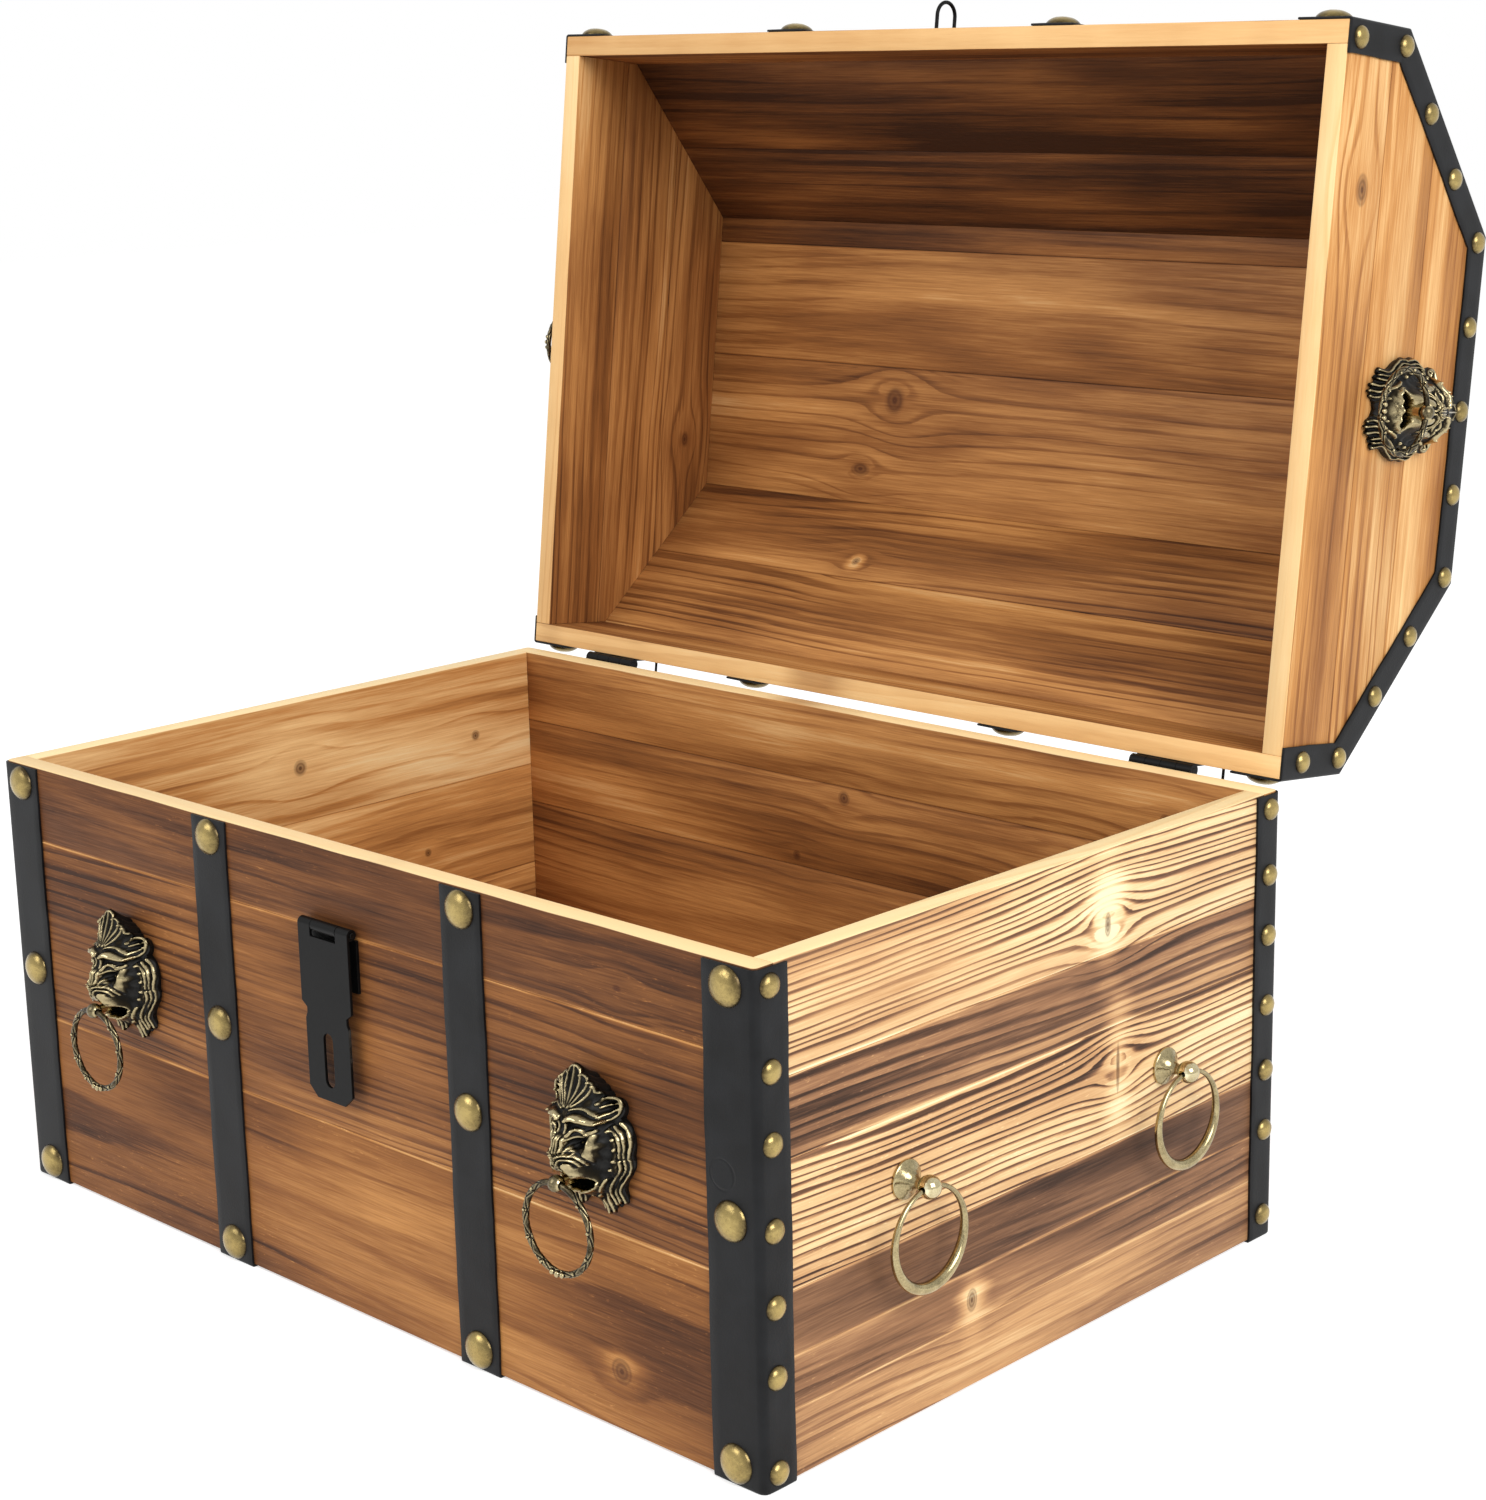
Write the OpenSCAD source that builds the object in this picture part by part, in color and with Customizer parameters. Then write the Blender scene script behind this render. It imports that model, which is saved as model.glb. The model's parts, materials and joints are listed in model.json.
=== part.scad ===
// Wooden trunk with a five-sided lid, leather straps, domed nails, lion ring pulls and a hasp.
// The origin is the centre of the underside; +X is right, +Y is back and +Z is up.
// Every lid piece is drawn in place on the shut lid, and then turned to where the open lid stands.

/* [Box] */
// Width of the box
box_w = 508; // [460:2:560]
// Depth of the box, front to back
box_d = 342; // [310:2:380]
// Height of the rim above the floor
box_h = 215; // [200:1:240]
// Thickness of every board
board_t = 10.5; // [9.5:0.5:12.5]
// Thickness of the bottom panel
bottom_t = 7; // [5:0.5:10]
// Radius on the upright corners of the box
corner_r = 2.5; // [1:0.5:4]

/* [Lid] */
// How far each end of the lid stands in from the box
lid_inset = 2; // [0.5:0.5:4]
// How far the front of the lid stands back from the box
lid_setback = 5; // [2:0.5:8]
// Height of the lid from its rim to its flat top
lid_h = 131.5; // [125:0.5:150]
// Height of the upright front and back of the lid
lid_side_h = 49; // [42:1:58]
// Depth of the flat top
lid_top_d = 164; // [140:2:190]
// Angle that the lid opens to, where its hinges stop it
open_angle = 97; // [94:1:104]
// Gap between the two rims when the lid is shut
rim_gap = 0.4; // [0.3:0.1:1]

/* [Leather straps] */
// Thickness of the leather
leather_t = 1.2; // [0.8:0.1:1.6]
// Width of a corner strap on the front, back and lid boards
corner_strap_w = 28; // [24:1:34]
// Width of a corner strap on the ends of the box
side_strap_w = 18; // [15:0.5:22]
// Width of the trim on the ends of the lid
lid_trim_w = 14.5; // [12:0.5:18]
// Width of a middle strap
middle_strap_w = 25; // [21:1:30]
// Distance from the centre of the trunk to the centre of a middle strap
middle_strap_x = 87; // [70:1:110]
// Length of strap folded under the box
strap_fold = 9; // [6:0.5:9]
// Distance from the top of a box strap down from the rim
strap_top_gap = 0.8; // [0.4:0.1:2]

/* [Nails] */
// Diameter of a large nail's dome
large_nail_d = 17; // [13:0.5:19]
// Height of a large nail's dome
large_nail_h = 4; // [3:0.2:5]
// Diameter of a small nail's dome
small_nail_d = 10.5; // [8:0.5:12]
// Height of a small nail's dome
small_nail_h = 2.8; // [2:0.2:3.6]
// Diameter of a nail's shank
nail_shank_d = 1.8; // [1.4:0.1:2.4]
// Length of a nail's shank under its dome
nail_shank_len = 8.5; // [7:0.5:9]
// Distance from the rim or the floor to the last large nail
large_nail_margin = 9.5; // [9:0.5:13]
// Height of the middle large nail on the box
large_nail_mid = 111; // [90:1:130]
// Distance from the rim or the floor to the last small nail
small_nail_margin = 9; // [7:0.5:12]
// Distance from a corner edge to the small nails
small_nail_inset = 7; // [6:0.5:8]
// Small nails up each strap on the ends of the box
small_nail_count = 7; // [5:1:8]

/* [Hinges] */
// Distance from an end of the box to the centre of the hinge near it
hinge_end = 66; // [64:1:110]
// Length of a hinge
hinge_len = 35.6; // [32:0.4:40]
// Height of a hinge leaf from the pin's axis
leaf_h = 17; // [15:0.5:22]
// Thickness of a hinge leaf
leaf_t = 1.3; // [1:0.1:1.5]
// Radius of the hinge barrel
barrel_r = 3; // [2.7:0.1:3.5]
// Diameter of the hinge pin
hinge_pin_d = 2.7; // [2.2:0.1:3]
// Distance between the two screws in a leaf
leaf_screw_gap = 22; // [20:1:23]

/* [Hasp] */
// Width of the hasp at its knuckles
hasp_w = 34.5; // [32:0.5:38]
// Width of the hasp's lower part
hasp_low_w = 30; // [26:0.5:31]
// Length of the swinging strap from the pin's axis
hasp_len = 79; // [76:1:84]
// Distance from the rim down to the hasp's pin
hasp_drop = 34.5; // [31:0.5:38]
// Thickness of the hasp's sheet
hasp_t = 1.4; // [1.1:0.1:1.6]
// Radius of the hasp's barrel
hasp_barrel_r = 2.6; // [2.4:0.1:2.9]
// Diameter of the hasp's pin
hasp_pin_d = 2.2; // [1.8:0.1:2.4]
// Width of the middle knuckle
hasp_mid_w = 17; // [14:0.5:19]
// Height of the fixed leaf
hasp_base_h = 27; // [25:0.5:30]
// Distance from the pin's axis to the middle of the slot
slot_reach = 60; // [58:0.5:62]
// Length of the slot
slot_len = 25; // [22:0.5:27]
// Width of the slot
slot_w = 6.4; // [6:0.2:7.4]
// Diameter of the staple's wire
staple_wire_d = 1.9; // [1.6:0.1:2.2]
// Distance between the staple's legs, to the middle of the wire
staple_gap = 13.6; // [11:0.2:15]
// Height of the staple above the lid board
staple_reach = 16.5; // [14:0.5:18]

/* [Lion pulls] */
// Distance from the right-hand end of the box to the front mask near it
front_lion_right_end = 89; // [78:1:100]
// Distance from the left-hand end of the box to the front mask near it
front_lion_left_end = 97; // [78:1:104]
// Height of a front mask's bead above the floor
front_lion_z = 113; // [90:1:130]
// Height of a lid mask's bead above the lid's rim
lid_lion_z = 57; // [54:0.5:64]
// Distance from the board to the middle of the bead
bead_reach = 23; // [20:0.5:25]
// Radius of the bead
bead_r = 3.6; // [3.4:0.1:4.2]
// Radius of the lion's ring, to the middle of its rod
lion_ring_r = 19; // [17:0.5:21]
// Diameter of the rod of the lion's ring
lion_ring_rod_d = 2.8; // [2.4:0.1:3]
// Thickness of the mask at its edge
mask_edge_t = 2.2; // [1.6:0.1:3]

/* [Side pulls] */
// Distance from the middle of the box to each side pull
side_pull_y = 87; // [60:1:110]
// Height of a side pull's ball above the floor
side_pull_z = 106; // [85:1:130]
// Distance from the board to the middle of the ball
ball_reach = 13; // [12:0.5:16]
// Radius of the ball
ball_r = 5; // [4.6:0.1:5.6]
// Radius of the rosette on the board
rosette_r = 8.5; // [7.5:0.5:11]
// Radius of the side ring, to the middle of its rod
side_ring_r = 21.3; // [19:0.1:24]
// Diameter of the side ring's rod where it hangs in the ball
side_ring_thin_d = 2; // [1.8:0.1:2.4]
// Diameter of the side ring's rod at its lowest point
side_ring_thick_d = 4.5; // [3.6:0.1:5]

/* [Hidden] */
$fn = 48;

// Clearances and small sizes
fit = 0.05;             // radial clearance of a pin in its knuckles
play = 0.3;             // clearance between pieces that move past each other
knuckle_gap = 0.2;      // gap between two knuckles along the pin
eps = 0.01;             // overlap that makes cuts run through
screw_head_r = 2.8;
screw_shank_r = 1.2;
screw_len = 8;
peg_r = 1.2;
peg_len = 6;
leaf_screw_edge = 1.5;  // wood screw's head to the edge of a hinge leaf
heel_gap = 0.02;        // gap left under the opened leaf, which rests on the heel
heel_shift = 1.2;       // heel's near side behind the barrel
heel_d = 4;             // depth of the heel
heel_drop = 5.5;        // how far the heel's web runs down the leaf
heel_rise = 3;          // how much higher the web's outer end is
brad_r = 0.7;
brad_beside = 13.2;     // brad from the end of the hinge leaf
brad_up = 4;            // brad from the lid's rim
brad_out = 5.5;         // how far a brad stands out
hasp_stand = 1;         // gap behind the hasp's barrel
hasp_pin_proud = 0.6;   // how far the hasp's pin stands out at each end
hasp_screw_edge = 7.5;  // screw from the side of the hasp's fixed leaf
hasp_screw_up = 9;      // screw from the foot of the fixed leaf
notch_rise = 12;        // top of the slot to the notch in the strap's sides
notch_in = 1.2;         // depth of the notch
notch_step = 2.5;       // length of each slope and of the notch's floor
tip_slope = 9;          // height of the slopes at the strap's tip
tip_half_w = 6;         // half of the width left between them
lid_nail_lift = 8;      // the small nail near the lid's back rim sits this much higher
strap_nail_lift = 6;    // the middle large nails sit this much higher on the middle straps
// The small nails were driven by eye: how far each sits above its even place, as a share of the gap
front_nail_lifts = [-0.04, 0.18, 0.07, 0.03, 0.1, -0.01, 0.03];
back_nail_lifts = [0.08, 0.36, 0.25, 0.21, 0.23, 0.1, 0.04];
stem_r = 2.2;           // stem that carries the bead
stem_foot = 4;          // where the stem starts inside the mask
mask_peg_z = [-5, 30];  // pegs behind the mask, up from the bead
post_neck_r = 2.3;      // neck of a side pull's post
rosette_t = 1.2;        // thickness of the rosette's edge

// Places that several pieces share
side_len = box_d - 2 * board_t;
wall_foot = leather_t;  // the walls stand on the folded ends of the straps
wall_h = box_h - wall_foot;
lid_w = box_w - 2 * lid_inset;
lid_d = box_d - lid_setback;
lid_mid_y = (box_d - lid_d) / 2;
lid_foot = box_h + rim_gap;
hinge_x = box_w / 2 - hinge_end;
lion_left_x = front_lion_left_end - box_w / 2;
lion_right_x = box_w / 2 - front_lion_right_end;
hinge_y = box_d / 2 + barrel_r + play;
hinge_z = box_h + rim_gap / 2;
hasp_y = -box_d / 2 - hasp_barrel_r - hasp_stand;
hasp_z = box_h - hasp_drop;
staple_z = slot_reach - hasp_drop - rim_gap;
slope_angle = atan2(lid_h - lid_side_h, (lid_d - lid_top_d) / 2);

// Colours
PINE = [0.72, 0.48, 0.27];
PINE_PALE = [0.80, 0.58, 0.35];
LEATHER = [0.13, 0.13, 0.14];
NAIL_BRASS = [0.60, 0.52, 0.30];
BRONZE = [0.36, 0.30, 0.19];
RING_BRASS = [0.66, 0.58, 0.42];
BLACK_STEEL = [0.10, 0.10, 0.11];

// Outline of the shut lid seen from its end, grown outwards by g, from the front rim to the back rim
function lid_outline(g) =
    let (
        y = lid_d / 2 + g,
        z = lid_side_h + g * tan(45 - slope_angle / 2),
        top = lid_top_d / 2 + g * tan(slope_angle / 2)
    )
    [[-y, 0], [-y, z], [-top, lid_h + g], [top, lid_h + g], [y, z], [y, 0]];

function reversed(list) = [for (i = [len(list) - 1:-1:0]) list[i]];
function between(a, b, t) = a + t * (b - a);

// Band between two grown lid outlines
function lid_band(outer, inner) = concat(lid_outline(outer), reversed(lid_outline(inner)));

// Frames in which pieces are placed
module opened() {
    translate([0, hinge_y, hinge_z])
        rotate([-open_angle, 0, 0])
            translate([0, -hinge_y, -hinge_z])
                children();
}

module on_lid() {
    opened() translate([0, lid_mid_y, lid_foot]) children();
}

// Extrudes an outline drawn in Y and Z along X, from x
module along_x(x, length) {
    translate([x, 0, 0]) rotate([90, 0, 90]) linear_extrude(length) children();
}

// Faces children, drawn looking down on +Z, to the front, the back or an end of the trunk
module face_front() { rotate([90, 0, 0]) children(); }
module face_back() { rotate([90, 0, 180]) children(); }
module face_end(side) { rotate([90, 0, side * 90]) children(); }

// Puts children on board i of the lid, at the share t of its height, facing outwards
module on_slat(i, t, x) {
    edge = lid_outline(0);
    along = edge[i + 1] - edge[i];
    place = between(edge[i], edge[i + 1], t);
    translate([x, place[0], place[1]]) rotate([atan2(along[1], along[0]), 0, 0]) children();
}

// Plan of the box grown by g, with its corners rounded
module box_plan(g) {
    r = corner_r + g;
    w = box_w + 2 * g;
    d = box_d + 2 * g;
    square([w - 2 * r, d], center = true);
    square([w, d - 2 * r], center = true);
    for (sx = [-1, 1], sy = [-1, 1])
        translate([sx * (w / 2 - r), sy * (d / 2 - r)]) circle(r);
}

// Boards of the box
module box_long_board(side) {
    color(PINE)
        translate([0, 0, wall_foot])
            linear_extrude(wall_h)
                intersection() {
                    box_plan(0);
                    translate([0, side * (box_d - board_t) / 2]) square([box_w, board_t], center = true);
                }
}

module box_end_board(side) {
    color(PINE_PALE)
        translate([side * (box_w - board_t) / 2, 0, wall_foot + wall_h / 2])
            cube([board_t, side_len, wall_h], center = true);
}

module box_bottom_panel() {
    color(PINE)
        translate([0, 0, bottom_t / 2])
            cube([box_w - 2 * board_t, side_len, bottom_t], center = true);
}

// Straps of the box: leather on the outside, with its ends folded under the walls
module box_leather() {
    linear_extrude(box_h - strap_top_gap) difference() {
        box_plan(leather_t);
        box_plan(0);
    }
    linear_extrude(leather_t) difference() {
        box_plan(leather_t);
        square([box_w - 2 * strap_fold, box_d - 2 * strap_fold], center = true);
    }
}

module corner_strap(sx, sy) {
    reach = leather_t + eps;
    color(LEATHER) intersection() {
        box_leather();
        union() {
            translate([sx > 0 ? box_w / 2 - corner_strap_w : -box_w / 2 - reach,
                       sy > 0 ? box_d / 2 - board_t : -box_d / 2 - reach, 0])
                cube([corner_strap_w + reach, board_t + reach, box_h]);
            translate([sx > 0 ? box_w / 2 - board_t : -box_w / 2 - reach,
                       sy > 0 ? box_d / 2 - side_strap_w : -box_d / 2 - reach, 0])
                cube([board_t + reach, side_strap_w + reach, box_h]);
        }
    }
}

module middle_strap(sx, sy) {
    reach = leather_t + eps;
    color(LEATHER) intersection() {
        box_leather();
        translate([sx * middle_strap_x - middle_strap_w / 2,
                   sy > 0 ? box_d / 2 - board_t : -box_d / 2 - reach, 0])
            cube([middle_strap_w, board_t + reach, box_h]);
    }
}

// Domed nail: its dome starts at Z = 0 and its shank points down
module nail(d, h) {
    dome_r = (d * d / 4 + h * h) / (2 * h);
    color(NAIL_BRASS) rotate_extrude() {
        intersection() {
            translate([0, h - dome_r]) circle(dome_r, $fn = 96);
            square([d / 2, h]);
        }
        translate([0, -nail_shank_len]) square([nail_shank_d / 2, nail_shank_len + h / 2]);
    }
}

module large_nail() { nail(large_nail_d, large_nail_h); }
module small_nail() { nail(small_nail_d, small_nail_h); }

// Centres of the large nails across a long board
large_nail_x = [
    -(box_w - corner_strap_w) / 2, -middle_strap_x, middle_strap_x, (box_w - corner_strap_w) / 2
];

module box_large_nails() {
    for (i = [0:3], up = [0:2])
        let (x = large_nail_x[i], mid = large_nail_mid + (i == 1 || i == 2 ? strap_nail_lift : 0),
             z = [large_nail_margin, mid, box_h - large_nail_margin][up]) {
        translate([x, -box_d / 2 - leather_t, z]) face_front() large_nail();
        translate([x, box_d / 2 + leather_t, z]) face_back() large_nail();
    }
}

module box_small_nails() {
    gap = (box_h - 2 * small_nail_margin) / (small_nail_count - 1);
    for (sx = [-1, 1], sy = [-1, 1], i = [0:small_nail_count - 1])
        let (lifts = sy < 0 ? front_nail_lifts : back_nail_lifts,
             lift = i < len(lifts) ? lifts[i] : 0)
            translate([sx * (box_w / 2 + leather_t), sy * (box_d / 2 - small_nail_inset),
                       small_nail_margin + gap * (i + lift)])
                face_end(sx) small_nail();
}

// Boards of the lid: five that run from end to end, mitred where they meet, around two ends
module lid_slat(i) {
    outer = lid_outline(0);
    inner = lid_outline(-board_t);
    color(PINE)
        on_lid()
            along_x(-lid_w / 2, lid_w)
                polygon([outer[i], outer[i + 1], inner[i + 1], inner[i]]);
}

module lid_end(side) {
    color(PINE_PALE)
        on_lid()
            along_x(side > 0 ? lid_w / 2 - board_t : -lid_w / 2, board_t)
                polygon(lid_outline(-board_t));
}

// Leather on the lid: over the edge of each end, and across it beside the middle
module lid_trim(side) {
    color(LEATHER) on_lid() {
        along_x(side > 0 ? lid_w / 2 - corner_strap_w : -lid_w / 2 - leather_t,
                corner_strap_w + leather_t)
            polygon(lid_band(leather_t, 0));
        along_x(side > 0 ? lid_w / 2 : -lid_w / 2 - leather_t, leather_t)
            polygon(lid_band(leather_t, -lid_trim_w));
    }
}

module lid_strap(side) {
    color(LEATHER)
        on_lid()
            along_x(side * middle_strap_x - middle_strap_w / 2, middle_strap_w)
                polygon(lid_band(leather_t, 0));
}

module lid_large_nails() {
    rim_share = large_nail_margin / lid_side_h;
    bend_share = large_nail_d / lid_top_d;
    lid_nail_x = (lid_w - corner_strap_w) / 2;
    on_lid()
        for (x = [-lid_nail_x, -middle_strap_x, middle_strap_x, lid_nail_x],
             spot = [[0, rim_share], [1, 0.5], [2, bend_share], [2, 1 - bend_share], [3, 0.5],
                     [4, 1 - rim_share]])
            on_slat(spot[0], spot[1], x) translate([0, 0, leather_t]) large_nail();
}

// Small nails follow the lid's edge: one near each rim, one at each bend, and more between the bends
module lid_small_nails() {
    path = lid_outline(-small_nail_inset);
    front_share = small_nail_margin / lid_side_h;
    back_share = (small_nail_margin + lid_nail_lift) / lid_side_h;
    spots = concat(
        [between(path[0], path[1], front_share)],
        [for (t = [0, 1 / 3, 2 / 3]) between(path[1], path[2], t)],
        [for (t = [0, 1 / 4, 1 / 2, 3 / 4, 1]) between(path[2], path[3], t)],
        [for (t = [1 / 3, 2 / 3, 1]) between(path[3], path[4], t)],
        [between(path[5], path[4], back_share)]
    );
    on_lid()
        for (side = [-1, 1], p = spots)
            translate([side * (lid_w / 2 + leather_t), p[0], p[1]]) face_end(side) small_nail();
}

// Countersunk screw: the flat of its head is at Z = 0 and its shank points down
module screw(grow) {
    head_h = screw_head_r - screw_shank_r;
    translate([0, 0, -head_h]) cylinder(head_h, screw_shank_r + grow, screw_head_r + grow);
    translate([0, 0, -screw_len]) cylinder(screw_len, r = screw_shank_r + grow);
}

// Butt hinges. Four knuckles share a pin: the first and third are the box leaf's
knuckle_w = hinge_len / 4;

module hinge_knuckle(i) {
    translate([-hinge_len / 2 + i * knuckle_w + knuckle_gap / 2, 0, 0])
        rotate([0, 90, 0])
            cylinder(knuckle_w - knuckle_gap, r = barrel_r);
}

// One leaf around the pin's axis: up is 1 for the lid's leaf and -1 for the box's
module hinge_leaf(up, knuckles) {
    plate_y = -barrel_r - play;
    plate_low = barrel_r + play;
    flip = up > 0 ? 0 : 1;
    difference() {
        union() {
            mirror([0, 0, flip])
                translate([-hinge_len / 2, plate_y, plate_low])
                    cube([hinge_len, leaf_t, leaf_h - plate_low]);
            for (i = knuckles) {
                hinge_knuckle(i);
                mirror([0, 0, flip])
                    translate([-hinge_len / 2 + i * knuckle_w + knuckle_gap / 2, plate_y, 0])
                        cube([knuckle_w - knuckle_gap, leaf_t, plate_low + eps]);
            }
        }
        rotate([0, 90, 0]) cylinder(hinge_len + 2, r = hinge_pin_d / 2 + fit, center = true);
        leaf_screws(up) screw(fit);
    }
}

// Places of a leaf's two screws, each facing away from the board
module leaf_screws(up) {
    for (x = [-leaf_screw_gap / 2, leaf_screw_gap / 2])
        translate([x, -barrel_r - play + leaf_t, up * (leaf_h - screw_head_r - leaf_screw_edge)])
            face_back() children();
}

// Heel on the box leaf that the opened lid leaf comes down on
module hinge_stop() {
    near = barrel_r + heel_shift;
    far = near + heel_d;
    foot = -barrel_r - play + eps;
    web = -barrel_r - heel_shift;
    face = barrel_r + play - leaf_t;
    function leaf_under(y) = let (along = (y + face * cos(open_angle)) / sin(open_angle))
        face * sin(open_angle) + along * cos(open_angle) - heel_gap;
    along_x(-hinge_len / 2 + 2 * knuckle_w + knuckle_gap / 2, knuckle_w - knuckle_gap)
        polygon([
            [foot, -barrel_r - heel_drop], [far, heel_rise - barrel_r - heel_drop], [far, leaf_under(far)],
            [near, leaf_under(near)], [near, web], [foot, web]
        ]);
}

module at_hinge(side) {
    translate([side * hinge_x, hinge_y, hinge_z]) children();
}

module hinge_box_leaf(side) {
    color(BLACK_STEEL) at_hinge(side) {
        hinge_leaf(-1, [0, 2]);
        hinge_stop();
    }
}

module hinge_lid_leaf(side) {
    color(BLACK_STEEL) opened() at_hinge(side) hinge_leaf(1, [1, 3]);
}

module hinge_pin(side) {
    color(BLACK_STEEL)
        at_hinge(side)
            rotate([0, 90, 0])
                cylinder(hinge_len, r = hinge_pin_d / 2, center = true);
}

module hinge_box_screws() {
    color(BLACK_STEEL) for (side = [-1, 1]) at_hinge(side) leaf_screws(-1) screw(0);
}

module hinge_lid_screws() {
    color(BLACK_STEEL) opened() for (side = [-1, 1]) at_hinge(side) leaf_screws(1) screw(0);
}

// A headless brad stands out of the back of the lid beside each hinge
module lid_brads() {
    color(BLACK_STEEL)
        on_lid()
            for (side = [-1, 1])
                translate([side * hinge_x + hinge_len / 2 + brad_beside, lid_d / 2 + brad_out, brad_up])
                    rotate([90, 0, 0])
                        cylinder(brad_out + peg_len, r = brad_r);
}

// Hasp: a fixed leaf and a swinging strap on one pin, drawn around the pin's axis facing -Y
module at_hasp() {
    translate([0, hasp_y, hasp_z]) children();
}

module hasp_knuckle(x, w) {
    translate([x, 0, 0]) rotate([0, 90, 0]) cylinder(w, r = hasp_barrel_r);
}

module hasp_pin_bore() {
    rotate([0, 90, 0]) cylinder(hasp_w + 4, r = hasp_pin_d / 2 + fit, center = true);
}

module hasp_screw_places() {
    for (s = [-1, 1])
        translate([s * (hasp_w / 2 - hasp_screw_edge), -box_d / 2 - hasp_y - hasp_t,
                   hasp_screw_up - hasp_base_h])
            face_front() children();
}

module hasp_base() {
    board_y = -box_d / 2 - hasp_y;
    plate_top = -hasp_barrel_r - play;
    color(BLACK_STEEL) at_hasp() difference() {
        union() {
            translate([-hasp_w / 2, board_y - hasp_t, -hasp_base_h])
                cube([hasp_w, hasp_t, hasp_base_h + plate_top]);
            translate([-hasp_mid_w / 2, board_y - hasp_t, plate_top - eps])
                cube([hasp_mid_w, hasp_t, eps - plate_top]);
            hasp_knuckle(-hasp_mid_w / 2, hasp_mid_w);
        }
        hasp_pin_bore();
        hasp_screw_places() screw(fit);
    }
}

module hasp_pin() {
    color(BLACK_STEEL)
        at_hasp() rotate([0, 90, 0]) cylinder(hasp_w + 2 * hasp_pin_proud, r = hasp_pin_d / 2, center = true);
}

module hasp_screws() {
    color(BLACK_STEEL) at_hasp() hasp_screw_places() screw(0);
}

// Outline of the strap's sheet in X and Z, with the pin's axis at Z = 0
module hasp_outline() {
    shoulder = slot_reach - slot_len / 2 - notch_rise;
    low = hasp_low_w / 2;
    half = [
        [hasp_w / 2, 0], [hasp_w / 2, -shoulder],
        [low - notch_in, -shoulder - notch_step], [low - notch_in, -shoulder - 2 * notch_step],
        [low, -shoulder - 3 * notch_step], [low, tip_slope - hasp_len], [tip_half_w, -hasp_len]
    ];
    difference() {
        polygon(concat(half, reversed([for (p = half) [-p[0], p[1]]])));
        translate([0, -slot_reach]) square([slot_w, slot_len - slot_w], center = true);
        for (s = [-1, 1])
            translate([0, -slot_reach + s * (slot_len - slot_w) / 2]) circle(slot_w / 2);
        translate([-hasp_mid_w / 2 - play, -hasp_barrel_r - 2])
            square([hasp_mid_w + 2 * play, hasp_barrel_r + 3]);
    }
}

module hasp_strap() {
    knuckle = (hasp_w - hasp_mid_w) / 2 - play;
    color(BLACK_STEEL) at_hasp() difference() {
        union() {
            translate([0, -hasp_barrel_r + hasp_t, 0])
                rotate([90, 0, 0])
                    linear_extrude(hasp_t)
                        hasp_outline();
            hasp_knuckle(-hasp_w / 2, knuckle);
            hasp_knuckle(hasp_w / 2 - knuckle, knuckle);
        }
        hasp_pin_bore();
    }
}

// Wire staple on the lid that the strap's slot drops over: an arch on two legs driven into the board
module padlock_staple() {
    wire_r = staple_wire_d / 2;
    shoulder = staple_reach - wire_r - staple_gap / 2;
    color(BLACK_STEEL)
        on_lid()
            translate([0, -lid_d / 2, staple_z])
                rotate([90, 0, 0]) {
                    translate([0, 0, shoulder])
                        rotate([90, 0, 90])
                            rotate_extrude(angle = 180)
                                translate([staple_gap / 2, 0]) circle(wire_r);
                    for (s = [-1, 1])
                        translate([0, s * staple_gap / 2, -peg_len])
                            cylinder(peg_len + shoulder, r = wire_r);
                }
}

// Lion mask. Half of its outline, from the crown's tip round to the chin: across, and up from the bead
MASK_HALF = [
    [0, 46.5], [2.6, 45.4], [4.4, 42.4], [6.6, 43.4], [9.4, 41.6], [9.8, 38.4], [12.2, 37.4], [13.4, 33.6],
    [13.6, 31.4], [15.2, 34.6], [19.8, 35], [21.4, 31.4], [17.6, 25.2], [20.8, 23.8], [24, 19.5],
    [24.2, 14.5], [23, 10.4], [24.2, 6.5], [20.6, -0.8], [19.8, -9], [16.2, -6.4], [15.2, -12.6],
    [12.6, -9.6], [11, -16], [8.6, -12.8], [3, -10]
];
MASK_RINGS = [0.12, 0.25, 0.38, 0.5, 0.62, 0.74, 0.86, 0.95, 1];
MASK_MIDDLE = [0, 11];

mask_rim = concat(MASK_HALF, [[0, -9]], reversed([for (i = [1:len(MASK_HALF) - 1])
    [-MASK_HALF[i][0], MASK_HALF[i][1]]]));

// A soft swelling at [x, z], sx wide and sz tall
function swell(p, x, z, sx, sz) = exp(-pow((p[0] - x) / sx, 2) - pow((p[1] - z) / sz, 2));
function pair(p, x, z, sx, sz) = swell(p, x, z, sx, sz) + swell(p, -x, z, sx, sz);

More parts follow.
